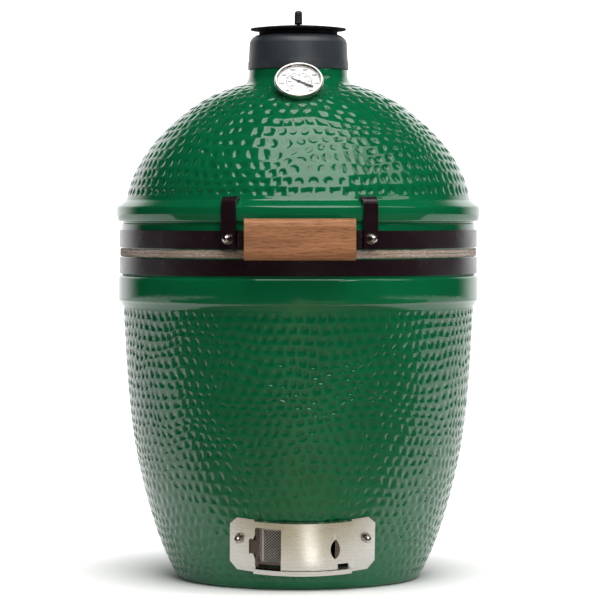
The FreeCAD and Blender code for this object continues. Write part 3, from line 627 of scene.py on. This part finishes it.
def dimpled_zone(skin, outline, pitch, seed):
    """Rows of round dimples over the whole outline. Returns the bottom and top rings."""
    rng = random.Random(seed)
    wander = Wander(outline, pitch, seed)
    rows = round(outline.length / (pitch * ROW_SHARE))
    row_height = outline.length / rows
    rim_share, depth_share = sizes().dimple_share, sizes().dimple_depth
    cuts = []
    for j in range(rows):
        if j % 4 == 0:
            r = outline.at(min(j + 2, rows - 1) * row_height)[0]
            n, phase = round(FULL_TURN * r / pitch), rng.random()
        offset = (phase + 0.5 * (j % 2)) % 1.0
        cuts.append([FULL_TURN * (k + offset) / n for k in range(n)])
    edges = []
    for j in range(rows + 1):
        angles = sorted((cuts[j - 1] if j > 0 else []) + (cuts[j] if j < rows else []))
        kept = [a for a, b in zip(angles, [-1.0] + angles) if a - b > 1e-5]
        edges.append([(a, skin.vertex(*wander.place(a, j * row_height))) for a in kept])
    for j in range(rows):
        n = len(cuts[j])
        lower, upper = edges[j], edges[j + 1]
        low_angles, up_angles = np.array([a for a, _ in lower]), np.array([a for a, _ in upper])
        for k in range(n):
            left, right = cuts[j][k], cuts[j][(k + 1) % n] + (FULL_TURN if k == n - 1 else 0)
            below = between(lower, low_angles, left, right)
            above = between(upper, up_angles, left, right)
            s = (j + 0.5) * row_height + rng.uniform(-0.05, 0.05) * pitch
            r = outline.at(s)[0]
            middle = (left + right) / 2 + rng.uniform(-0.06, 0.06) * pitch / r
            radius = rim_share * pitch * rng.uniform(0.84, 1.0)
            depth = depth_share * radius * rng.uniform(0.70, 1.20)
            turn = rng.uniform(0, FULL_TURN / SPOKES)
            stretch, slant = rng.uniform(-0.07, 0.07), rng.uniform(0, math.pi)
            rings = []
            for part, sink in DIMPLE_RINGS:
                ring = []
                for i in range(SPOKES):
                    a = turn + FULL_TURN * i / SPOKES
                    reach = radius * part * (1 + stretch * math.cos(2 * (a - slant)))
                    x, y = reach * math.cos(a), reach * math.sin(a)
                    ring.append(skin.vertex(*wander.place(middle + x / r, s + y, depth * sink), sink))
                rings.append(ring)
            tip = skin.vertex(*wander.place(middle, s, depth), 1.0)
            for rim, bowl in zip(rings, rings[1:]):
                for i in range(SPOKES):
                    h = (i + 1) % SPOKES
                    skin.face((rim[i], rim[h], bowl[h], bowl[i]))
            for i in range(SPOKES):
                skin.face((rings[-1][i], rings[-1][(i + 1) % SPOKES], tip))
            outer = [(math.atan2(-row_height / 2, (a - middle) * r), v) for a, v in below]
            outer += [(math.atan2(row_height / 2, (a - middle) * r), v) for a, v in reversed(above)]
            hole = [((turn + FULL_TURN * i / SPOKES), v) for i, v in enumerate(rings[0])]
            skin.stitch(in_order(hole), in_order(outer))
    return edges[0], edges[-1]


def between(edge, angles, left, right):
    """The (angle, vertex) pairs of a closed edge from left to right, with both ends."""
    found = []
    for turn in (0.0, FULL_TURN):
        first, last = np.searchsorted(angles + turn, (left - 1e-5, right + 1e-5))
        found += [(edge[i][0] + turn, edge[i][1]) for i in range(first, last)]
    return found


def in_order(ring):
    """The ring's pairs with angles from 0 to a full turn, in rising order."""
    return sorted((a % FULL_TURN, v) for a, v in ring)


def shell_piece(name, skin):
    piece = new_piece(name, skin.vertices, skin.faces)
    places = np.array(skin.vertices)
    # the glaze behind the draft strip, which gets painted shade
    shaded_gap = ((places > GAP_SHADE_LOW) & (places < GAP_SHADE_HIGH)).all(axis=1)
    for name, values in (("pool", skin.pool), ("soot", shaded_gap)):
        mark(piece, name, "POINT", values)
    paint(piece, "green_glaze", "fired_clay")
    piece.data.polygons.foreach_set("material_index", np.array(skin.inner, np.int32))
    return piece


def inset(outline, depth, count):
    """The (r, z) curve that runs depth inside the outline, from its top to its bottom."""
    made = []
    for s in np.linspace(outline.length, 0.0, count):
        r, z, nr, nz = outline.at(s)
        made.append((r - nr * depth, z - nz * depth))
    return made


def make_base_shell():
    skin = Skin()
    outline = Outline("base_shell", 0.009, 0.345)
    bottom, top = dimpled_zone(skin, outline, sizes().base_dimple, 3)
    lip = rounded([(0.2236, 0.3460), (0.2278, 0.3525), (0.2298, 0.3545), (0.2298, 0.3832), (RIM_OUT, 0.3865),
                   (RIM_OUT, BASE_RIM), (RIM_IN, BASE_RIM)], 0.0026)
    ring = skin.lathe(lip, top, AROUND)
    inside = [(RIM_IN, 0.36)] + inset(outline, WALL, 14)[:-1] + [(0.140, 0.028), (0.132, 0.0242), (0.0, 0.0242)]
    skin.lathe(inside, ring, AROUND, inner=True)
    foot = [(0.1575, 0.0060), (0.1562, 0.0028), (0.1540, 0.0008), (0.1510, 0.0), (0.0, 0.0)]
    skin.lathe(foot, bottom, AROUND)
    piece = shell_piece("base_shell_glazed", skin)
    edited(piece, (bpy.ops.mesh.normals_make_consistent, {"inside": False}))
    cut_mouth(piece)
    smooth(piece, 50.0)
    settle(piece, "base", "green_glaze", "base_shell")


def cut_mouth(shell):
    """Cuts the draft opening through the front of the base."""
    bpy.ops.object.select_all(action="DESELECT")
    bpy.ops.mesh.primitive_cube_add(size=1.0, location=MOUTH_PLACE)
    cutter = bpy.context.object
    cutter.scale = MOUTH_SIZE
    bpy.ops.object.transform_apply(location=True, rotation=False, scale=True)
    cutter.data.transform(Matrix.Rotation(STRIP_TURN, 4, "Z"))
    paint(cutter, "fired_clay")
    modified(cutter, "BEVEL", width=MOUTH_EASE, segments=3, limit_method="NONE")
    modified(shell, "BOOLEAN", operation="DIFFERENCE", object=cutter, solver="MANIFOLD")
    bpy.data.objects.remove(cutter)


def make_dome_shell():
    skin = Skin()
    outline = Outline("dome_shell", 0.4852, 0.6265)
    bottom, top = dimpled_zone(skin, outline, sizes().dome_dimple, 11)
    neck = [(0.0705, 0.6284), (0.0668, 0.6306), (0.0642, 0.6340), (0.0630, 0.6385), (0.0629, 0.6455), (0.0622, 0.6468),
            (0.0590, 0.6471), (0.0575, 0.6474), (0.0575, 0.6668), (0.0563, 0.6680), (0.0432, 0.6680)]
    ring = skin.lathe(neck, top, AROUND)
    flue = [(0.0420, 0.6668), (0.0420, 0.6100), (0.0435, 0.6088), (0.0650, 0.6048)]
    inside = flue + inset(outline, WALL, 14)[1:] + [(RIM_IN, 0.4580), (RIM_IN, DOME_RIM + 0.001)]
    ring = skin.lathe(inside, ring, AROUND, inner=True)
    rim = rounded([(RIM_IN, DOME_RIM), (RIM_OUT, DOME_RIM), (RIM_OUT, 0.4500), (0.2243, 0.4518), (0.2243, 0.4532),
                   (0.2304, 0.4542), (0.2323, 0.4627), (0.2320, 0.4722), (0.2204, 0.4806), (0.2190, 0.4845)], 0.0020)
    ring = skin.lathe(rim, ring, AROUND)
    skin.stitch(ring, bottom)
    piece = shell_piece("dome_shell_glazed", skin)
    edited(piece, (bpy.ops.mesh.remove_doubles, {"threshold": 0.00001}),
           (bpy.ops.mesh.normals_make_consistent, {"inside": False}))
    smooth(piece, 50.0)
    settle(piece, "dome", "green_glaze", "dome_shell")


# ---- felt ----
FELT_STEPS, FELT_LIP = 720, 0.0013          # vertices round a ring, and how far its edge hangs over the rim
FIBRES, FIBRE_SIZE = 900, 0.00012


def make_gasket(name, body, node, low, high, seed):
    """A felt ring whose outer edge is uneven, with loose fibres standing out of it."""
    skin = Skin()
    rng = random.Random(seed)
    middle = (low + high) / 2
    section = [(0.2035, low), (0.2150, low), (0.2258, low - (FELT_LIP if body == "base" else 0)), (0.2266, low),
               (0.2269, middle - 0.0006), (0.2269, middle + 0.0006), (0.2266, high),
               (0.2258, high + (FELT_LIP if body == "dome" else 0)), (0.2150, high), (0.2035, high)]
    rings = []
    for i, (r, z) in enumerate(section):
        ring = []
        for k in range(FELT_STEPS):
            a = FULL_TURN * k / FELT_STEPS
            wobble = noise.noise(Vector((math.cos(a) * 16, math.sin(a) * 16, i * 0.35 + seed)))
            fine = noise.noise(Vector((math.cos(a) * 90, math.sin(a) * 90, i * 0.8 + seed)))
            free = max(0.0, (r - 0.2150) / 0.0100)
            lift = (fine * 0.00055 + wobble * 0.00040) * free
            ring.append(skin.vertex(a, r + (wobble * 0.0008 + fine * 0.0009) * free, z + lift))
        rings.append(ring)
    for lower, upper in zip(rings, rings[1:] + rings[:1]):
        for k in range(FELT_STEPS):
            h = (k + 1) % FELT_STEPS
            skin.face((lower[k], lower[h], upper[h], upper[k]))
    for _ in range(FIBRES):
        a, r, z = rng.uniform(0, FULL_TURN), rng.uniform(0.2256, 0.2268), rng.uniform(low + 0.0004, high - 0.0004)
        reach, swing, rise = rng.uniform(0.0006, 0.0022), rng.uniform(-0.012, 0.012), rng.uniform(-0.0012, 0.0012)
        wide = FIBRE_SIZE / r
        root = [skin.vertex(a - wide, r, z - FIBRE_SIZE), skin.vertex(a + wide, r, z - FIBRE_SIZE),
                skin.vertex(a, r, z + FIBRE_SIZE)]
        tip = skin.vertex(a + swing, r + reach, z + rise)
        for i in range(3):
            skin.face((root[i], root[(i + 1) % 3], tip))
        skin.face((root[2], root[1], root[0]))
    piece = new_piece(name, skin.vertices, skin.faces)
    edited(piece, (bpy.ops.mesh.normals_make_consistent, {"inside": False}))
    smooth(piece, 60.0)
    paint(piece, "felt")
    settle(piece, body, "felt", node)


# ---- draft doors ----
STRIP_R, STRIP_FOOT, STRIP_LEAN, STRIP_TURN = 0.194, (0.168, 0.021), math.radians(18.3), math.radians(1.4)
TAB_STEP = 0.0007           # faces this far outside a door's sheet belong to its pull
CLOTH_R, CLOTH_LOW, CLOTH_HIGH = STRIP_R + 0.0029, 0.0150, 0.0600
CLOTH_HALF, CLOTH_MIDDLE = math.radians(9.4) * CLOTH_R, math.radians(-6.6) * CLOTH_R


def strip_place():
    """Where the bent strip's own frame sits: Z is its bending axis, heights run up the slope."""
    lean = Matrix.Rotation(STRIP_LEAN, 4, "X") @ Matrix.Translation((0, STRIP_R, 0))
    foot = Matrix.Translation((0, -STRIP_FOOT[0], STRIP_FOOT[1]))
    return Matrix.Rotation(STRIP_TURN, 4, "Z") @ foot @ lean


def stain_tab(door):
    """Painted shade on the pull that stands out of a door's bent sheet."""
    back = strip_place().inverted()
    reach = np.array([(back @ face.center).xy.length for face in door.data.polygons])
    area = np.array([face.area for face in door.data.polygons])
    order = np.argsort(reach)
    sheet = reach[order][np.searchsorted(np.cumsum(area[order]), area.sum() / 2)]
    mark(door, "painted_shade", "FACE", reach > sheet + TAB_STEP)


def make_wire_cloth():
    """Wires woven at 45 degrees across the screen's window."""
    radius = sizes().wire_radius
    span = sizes().wire_pitch * math.sqrt(2)
    tall = CLOTH_HIGH - CLOTH_LOW
    steps = round(tall / (span / 2))
    place = strip_place()
    vertices, faces = [], []
    for lean in (1, -1):
        for i in range(math.floor((-CLOTH_HALF - tall) / span), math.ceil((CLOTH_HALF + tall) / span) + 1):
            run = []
            for k in range(steps + 1):
                rise = tall * k / steps
                u = i * span + lean * rise
                if -CLOTH_HALF <= u <= CLOTH_HALF:
                    over = 1 if (k + i) % 2 == 0 else -1
                    run.append((u + CLOTH_MIDDLE, CLOTH_LOW + rise, over * lean * radius * 0.95))
            if len(run) > 1:
                add_wire(vertices, faces, run, radius, place)
    piece = new_piece("screen_wire_cloth", vertices, faces)
    edited(piece, (bpy.ops.mesh.normals_make_consistent, {"inside": False}))
    smooth(piece, 60.0)
    paint(piece, "wire_steel")
    settle(piece, "screen_door", "brushed_steel", "screen_mesh")


def add_wire(vertices, faces, run, radius, place):
    """A four-sided wire through the (along, up, out) points of run, with closed ends."""
    start = len(vertices)
    for u, v, w in run:
        a = u / CLOTH_R - math.pi / 2
        for dr, dv in ((radius, 0), (0, radius), (-radius, 0), (0, -radius)):
            r = CLOTH_R + w + dr
            vertices.append(place @ Vector((r * math.cos(a), r * math.sin(a), v + dv * 1.2)))
    for k in range(len(run) - 1):
        for q in range(4):
            a, b = start + 4 * k + q, start + 4 * k + (q + 1) % 4
            faces.append((a, b, b + 4, a + 4))
    faces.append(tuple(start + q for q in (3, 2, 1, 0)))
    faces.append(tuple(start + 4 * (len(run) - 1) + q for q in range(4)))


# ---- gauge ----
GAUGE_FACE, GAUGE_TILT = Vector((0, -0.1143, 0.6309)), math.radians(46.0)
PRINT_LEVEL, HAIR = -0.00518, 0.00001
FIGURES = (                 # figures, radius, height, and the angles of the first and last
    (range(50, 401, 50), 0.0221, 0.0042, 228, -48),
    (range(100, 701, 100), 0.0117, 0.0032, 222, -42),
)
TICKS = ((0.0166, 0.0177, 36, 0.0003), (0.0160, 0.0177, 8, 0.0007))     # inner and outer radius, number, width
ARC = (0.0150, 0.0158, 96)                                              # inner and outer radius, steps
SCALE_START, SCALE_SWEEP = 236, 288


def make_figure(figure, height, place):
    """One printed number, centred on its place on the dial."""
    bpy.ops.object.select_all(action="DESELECT")
    bpy.ops.object.text_add()
    label = bpy.context.object
    label.data.body = str(figure)
    label.data.align_x, label.data.align_y = "CENTER", "CENTER"
    label.data.size, label.data.extrude, label.data.offset = height, 2 * HAIR, height * 0.035
    bpy.ops.object.convert(target="MESH")
    label = bpy.context.object
    label.data.transform(Matrix.Translation(place))
    return label


def make_dial_print():
    """Figures, ticks and the inner circle on the dial."""
    made = []
    for figures, r, height, first, last in FIGURES:
        for i, figure in enumerate(figures):
            a = math.radians(first + (last - first) * i / (len(figures) - 1))
            made.append(make_figure(figure, height, (r * math.cos(a), r * math.sin(a), PRINT_LEVEL)))
    level = UP * (PRINT_LEVEL + HAIR)
    vertices, faces = [], []
    for r_in, r_out, count, width in TICKS:
        for i in range(count):
            a = math.radians(SCALE_START - SCALE_SWEEP * i / (count - 1))
            out, side = Vector((math.cos(a), math.sin(a), 0)), Vector((-math.sin(a), math.cos(a), 0)) * width / 2
            start = len(vertices)
            vertices += [out * r + side * s + level for r, s in ((r_in, -1), (r_out, -1), (r_out, 1), (r_in, 1))]
            faces.append((start, start + 1, start + 2, start + 3))
    r_in, r_out, steps = ARC
    for i in range(steps):
        start = len(vertices)
        for j in (i, i + 1):
            a = math.radians(SCALE_START - SCALE_SWEEP * j / steps)
            vertices += [Vector((r * math.cos(a), r * math.sin(a), 0)) + level for r in (r_in, r_out)]
        faces.append((start, start + 1, start + 3, start + 2))
    marks = new_piece("dial_marks", vertices, faces)
    bpy.ops.object.select_all(action="DESELECT")
    for piece in (*made, marks):
        piece.select_set(True)
    bpy.context.view_layer.objects.active = marks
    bpy.ops.object.join()
    marks.matrix_world = Matrix.Identity(4)
    marks.data.transform(Matrix.Translation(GAUGE_FACE) @ Matrix.Rotation(GAUGE_TILT, 4, "X"))
    paint(marks, "needle")
    settle(marks, "dome", "needle")


# ---- studio ----
BLACK, WHITE = (0.0, 0.0, 0.0), (1.0, 1.0, 1.0)
FLOOR_RADIUS, FLOOR_PLACE = 6.5, (0, 0.25, -0.0006)
CARD_SIZE, CARD_PLACE = (9.0, 6.2), Vector((0, -3.28, 0.003))
SOFTBOX_TARGET, SOFTBOX_DISTANCE = Vector((0.0, 0.0, 0.50)), 2.3
CAMERA_PLACE, CAMERA_AIM = Vector((-0.030, -4.0, 0.471)), Vector((0.0022, 0.0, 0.353))


def make_floor():
    """A pale floor under the grill. The world behind it is the same white. The floor glows more the farther it lies
    from the grill: painted light, which leaves a painted shadow round the foot.
    """
    bpy.ops.object.select_all(action="DESELECT")
    bpy.ops.mesh.primitive_circle_add(vertices=96, radius=FLOOR_RADIUS, fill_type="NGON", location=FLOOR_PLACE)
    floor = bpy.context.object
    floor.name = "floor"
    bpy.ops.object.transform_apply(location=True, rotation=False, scale=False)
    f = Finish("floor_painted_glow")
    away = f.node("ShaderNodeVectorMath", {"operation": "LENGTH"}, {0: f.place}, output="Value")
    # painted light: emission grows with distance from the grill, so the floor near the foot keeps a painted shadow
    painted_glow = f.blend(away.clip(0.15, 0.36) * 0.70 + away.clip(0.5, 1.6) * 0.30, BLACK, WHITE)
    floor.data.materials.append(f.surface(Base_Color=(0.90, 0.90, 0.90), Roughness=0.9, Emission_Color=painted_glow,
                                          Emission_Strength=1.0))


def make_card():
    """A dark card on the floor in front, which only the glaze and the steel see."""
    card = make_plane("card", CARD_SIZE)
    card.data.transform(Matrix.Translation(CARD_PLACE))
    f = Finish("card_brown")
    off = f.node("ShaderNodeMath", {"operation": "ABSOLUTE"}, {0: f.along("X") - 0.02})
    streak = (1.0 - off.clip(0.0, 0.70)) ** 2.5
    warm = f.blend(streak, BLACK, (1.0, 0.86, 0.52))
    paper = f.shader(Base_Color=(0.17, 0.15, 0.12), Roughness=0.9, Emission_Color=warm, Emission_Strength=0.42)
    clear = f.node("ShaderNodeBsdfTransparent")
    f.done(f.node("ShaderNodeMixShader", {}, {0: f.along("Y").clip(-0.27, -0.19), 1: paper, 2: clear}))
    card.data.materials.append(f.material)
    card.visible_camera = card.visible_shadow = False


def make_world():
    """White behind and at the sides, dark in front, so that gloss shows a bright edge."""
    world = bpy.data.worlds.new("studio")
    bpy.context.scene.world = world
    f = Finish("studio", world)
    f.place = f.node("ShaderNodeTexCoord", output="Generated")
    strength = 1.0
    for axis, limits in (("Y", (0.50, 0.84, 0.01, 1.9)), ("Z", (0.36, 0.62, 1.0, 0.05))):
        ends = dict(zip(("From Min", "From Max", "To Min", "To Max"), limits))
        strength = f.node("ShaderNodeMapRange", {"interpolation_type": "SMOOTHSTEP"},
                          {"Value": f.along(axis), **ends}) * strength
    background = f.node("ShaderNodeBackground", {}, {"Strength": strength})
    f.node("ShaderNodeOutputWorld", {}, {"Surface": background})


def make_plane(name, size):
    """A flat rectangle round the origin."""
    bpy.ops.object.select_all(action="DESELECT")
    bpy.ops.mesh.primitive_plane_add(size=1.0)
    plane = bpy.context.object
    plane.name = name
    plane.scale = (*size, 1.0)
    bpy.ops.object.transform_apply(location=False, rotation=False, scale=True)
    return plane


def make_softbox(elevation, azimuth, size, strength):
    """A softbox with cut corners, which faces the dome from in front and above."""
    box = make_plane("softbox", size)
    edited(box, (bpy.ops.mesh.bevel, {"offset": size[0] * 0.2, "segments": 1, "affect": "VERTICES"}))
    up, side = math.radians(elevation), math.radians(azimuth)
    away = Vector((math.cos(up) * math.sin(side), -math.cos(up) * math.cos(side), math.sin(up)))
    turn = (-away).to_track_quat("-Z", "Y").to_matrix().to_4x4()
    box.data.transform(Matrix.Translation(SOFTBOX_TARGET + away * SOFTBOX_DISTANCE) @ turn)
    f = Finish("softbox_light")
    light = f.node("ShaderNodeEmission", {}, {"Color": (1.0, 0.99, 0.97), "Strength": strength})
    box.data.materials.append(f.done(light))
    box.visible_camera = False


def make_panel_light(name, place, target, size, energy):
    """A flat light that faces its target."""
    light = bpy.data.lights.new(name, "AREA")
    light.shape, light.size, light.size_y, light.energy = "RECTANGLE", *size, energy
    holder = bpy.data.objects.new(name, light)
    bpy.context.scene.collection.objects.link(holder)
    holder.location = place
    holder.rotation_euler = (Vector(target) - holder.location).to_track_quat("-Z", "Y").to_euler()
    return holder


def make_kicker(name, place, target, size, energy, *pieces):
    """A narrow light that falls on the named pieces only and draws an upright highlight on them."""
    lit = bpy.data.collections.new(name)
    for piece in pieces:
        lit.objects.link(bpy.data.objects[piece])
    kicker = make_panel_light(name, place, target, size, energy)
    kicker.visible_camera = False
    kicker.light_linking.receiver_collection = lit


def make_camera():
    camera = bpy.data.cameras.new("camera")
    camera.lens, camera.sensor_width, camera.clip_end = 187.7, 36.0, 50.0
    holder = bpy.data.objects.new("camera", camera)
    bpy.context.scene.collection.objects.link(holder)
    holder.location = CAMERA_PLACE
    holder.rotation_euler = (CAMERA_AIM - CAMERA_PLACE).to_track_quat("-Z", "Y").to_euler()
    bpy.context.scene.camera = holder


# ---- operators ----
class KAMADO_OT_shells(bpy.types.Operator):
    """Glazed base and dome with their dimples"""
    bl_idname = "kamado.shells"
    bl_label = "Glazed shells"

    def execute(self, context):
        make_base_shell()
        make_dome_shell()
        return {"FINISHED"}


class KAMADO_OT_gaskets(bpy.types.Operator):
    """Felt rings between the shells and under the vent cap"""
    bl_idname = "kamado.gaskets"
    bl_label = "Gaskets"

    def execute(self, context):
        make_gasket("base_gasket_felt", "base", "base_gasket", 0.4107, 0.4143, 2)
        make_gasket("dome_gasket_felt", "dome", "dome_gasket", 0.4146, 0.4182, 8)
        eased("cap_gasket", "dome", "felt", 0.0)
        return {"FINISHED"}


class KAMADO_OT_bands(bpy.types.Operator):
    """Steel bands, hinge brackets and their fasteners"""
    bl_idname = "kamado.bands"
    bl_label = "Bands and hinge"

    def execute(self, context):
        edge = sizes().edge
        for body in ("base", "dome"):
            eased(body + "_band", body, "black_steel", edge)
            eased(body + "_hinge_bracket", body, "black_steel", edge)
            eased(body + "_clamp_bolts", body, "zinc_steel", edge * 0.8)
            eased(body + "_clamp_nuts", body, "zinc_steel", edge * 0.8)
        for node in ("hinge_pin", "hinge_pin_nut", "spring_rod_lower"):
            eased(node, "base", "zinc_steel", edge)
        eased("spring_rod_upper", "dome", "zinc_steel", edge)
        for node in ("spring_left", "spring_right"):
            coil = eased_copy(node, 0.0)
            paint(coil, "zinc_steel")
            settle(coil, "base", "zinc_steel", node)
            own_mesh(coil)
        return {"FINISHED"}


class KAMADO_OT_handle(bpy.types.Operator):
    """Straps, bracket, fasteners and the wooden grip"""
    bl_idname = "kamado.handle"
    bl_label = "Handle"

    def execute(self, context):
        edge = sizes().edge
        for node in ("handle_strap_left", "handle_strap_right"):
            eased(node, "dome", "black_steel", edge)
        eased("handle_bracket", "dome", "black_steel", edge * 1.4)
        for node in ("handle_cap_nuts", "handle_washers"):
            eased(node, "dome", "bright_steel", edge * 0.8)
        for node in ("handle_screws", "handle_studs", "handle_spacers"):
            eased(node, "dome", "zinc_steel", edge * 0.6)
        eased("handle_grip", "dome", "wood", 0.0022)
        return {"FINISHED"}


class KAMADO_OT_gauge(bpy.types.Operator):
    """Dial gauge on the dome"""
    bl_idname = "kamado.gauge"
    bl_label = "Gauge"

    def execute(self, context):
        edge = sizes().edge
        eased("gauge_case", "dome", "bright_steel", edge)
        eased("gauge_bezel", "dome", "bright_steel", edge)
        eased("gauge_stem", "dome", "zinc_steel", edge)
        eased("gauge_clip", "dome", "zinc_steel", 0.0)
        eased("gauge_dial", "dome", "dial_white", 0.0)
        eased("gauge_lens", "dome", "lens", 0.0002)
        eased("gauge_pointer", "gauge_pointer", "needle", 0.0)
        make_dial_print()
        return {"FINISHED"}


class KAMADO_OT_vent_cap(bpy.types.Operator):
    """Vent cap with its swinging cover and turning disc"""
    bl_idname = "kamado.vent_cap"
    bl_label = "Vent cap"

    def execute(self, context):
        edge = sizes().edge
        eased("cap_body", "dome", "cast_dark", edge * 1.2)
        eased("cap_pivot_pin", "dome", "zinc_steel", edge)
        eased("cap_cover", "cap_cover", "cast_dark", edge, "wheel_black")
        eased("cap_rivet", "cap_cover", "zinc_steel", edge)
        eased("cap_wheel", "cap_wheel", "cast_dark", edge, "wheel_black")
        eased("grip_sleeve", "cap_wheel", "silicone", edge * 0.6, even=False)
        return {"FINISHED"}


class KAMADO_OT_draft(bpy.types.Operator):
    """Draft frame, its two doors and their fasteners"""
    bl_idname = "kamado.draft"
    bl_label = "Draft doors"

    def execute(self, context):
        edge = sizes().edge
        eased("draft_frame", "base", "brushed_steel", edge * 0.5, "frame_steel")
        stain_tab(eased("draft_door", "draft_door", "brushed_steel", edge * 0.5))
        stain_tab(eased("screen_frame", "screen_door", "brushed_steel", edge * 0.4))
        for node in ("draft_cap_nuts", "draft_washers"):
            eased(node, "base", "bright_steel", edge * 0.7)
        eased("draft_studs", "base", "zinc_steel", 0.0)
        make_wire_cloth()
        return {"FINISHED"}


class KAMADO_OT_inside(bpy.types.Operator):
    """Fire box, fire ring, grate and cooking grid"""
    bl_idname = "kamado.inside"
    bl_label = "Inside"

    def execute(self, context):
        eased("fire_box", "base", "fired_clay", 0.0025)
        eased("fire_ring", "base", "fired_clay", 0.0025)
        eased("fire_grate", "base", "cast_iron", 0.0008)
        eased("cooking_grid", "base", "brushed_steel", 0.0)
        return {"FINISHED"}


class KAMADO_OT_studio(bpy.types.Operator):
    """Pale floor, studio light and camera"""
    bl_idname = "kamado.studio"
    bl_label = "Studio"

    def execute(self, context):
        make_floor()
        make_card()
        make_world()
        make_softbox(59.5, 11.0, (2.0, 3.05), 4.2)
        make_softbox(46.0, 74.0, (0.75, 1.5), 2.2)
        make_kicker("cap_kicker", (0.75, -2.46, 0.71), (0, 0, 0.66), (0.20, 1.4), 8.0, "cap_body_eased")
        make_kicker("steel_kicker", (0.024, -0.36, 0.004), (0.024, -0.359, 1.0), (0.026, 0.30), 0.030,
                    "draft_frame_eased", "draft_door_eased", "screen_frame_eased")
        fill = make_panel_light("fill", (0.9, -3.5, 0.8), (0, 0, 0.35), (1.6, 1.6), 46.0)
        fill.visible_glossy = False
        make_camera()
        bpy.context.scene.view_settings.view_transform = "Standard"
        return {"FINISHED"}


class KAMADO_PT_panel(bpy.types.Panel):
    """Lists the pieces in the order they are built"""
    bl_idname = "KAMADO_PT_panel"
    bl_label = "Kamado grill"
    bl_space_type = "VIEW_3D"
    bl_region_type = "UI"
    bl_category = "Kamado"

    def draw(self, context):
        for group in (context.scene.kamado_sizes, context.scene.kamado_colours):
            for name in group.__annotations__:
                self.layout.prop(group, name)
        for operator in OPERATORS:
            self.layout.operator(operator.bl_idname)


OPERATORS = (KAMADO_OT_shells, KAMADO_OT_gaskets, KAMADO_OT_bands, KAMADO_OT_handle, KAMADO_OT_gauge,
             KAMADO_OT_vent_cap, KAMADO_OT_draft, KAMADO_OT_inside, KAMADO_OT_studio)
CLASSES = (KAMADO_PG_sizes, KAMADO_PG_colours, *OPERATORS, KAMADO_PT_panel)


def register():
    for cls in CLASSES:
        bpy.utils.register_class(cls)
    bpy.types.Scene.kamado_sizes = bpy.props.PointerProperty(type=KAMADO_PG_sizes)
    bpy.types.Scene.kamado_colours = bpy.props.PointerProperty(type=KAMADO_PG_colours)


def unregister():
    del bpy.types.Scene.kamado_colours
    del bpy.types.Scene.kamado_sizes
    for cls in reversed(CLASSES):
        bpy.utils.unregister_class(cls)


def main():
    register()
    for operator in OPERATORS:
        group, name = operator.bl_idname.split(".")
        getattr(getattr(bpy.ops, group), name)()


if __name__ == "__main__":
    main()
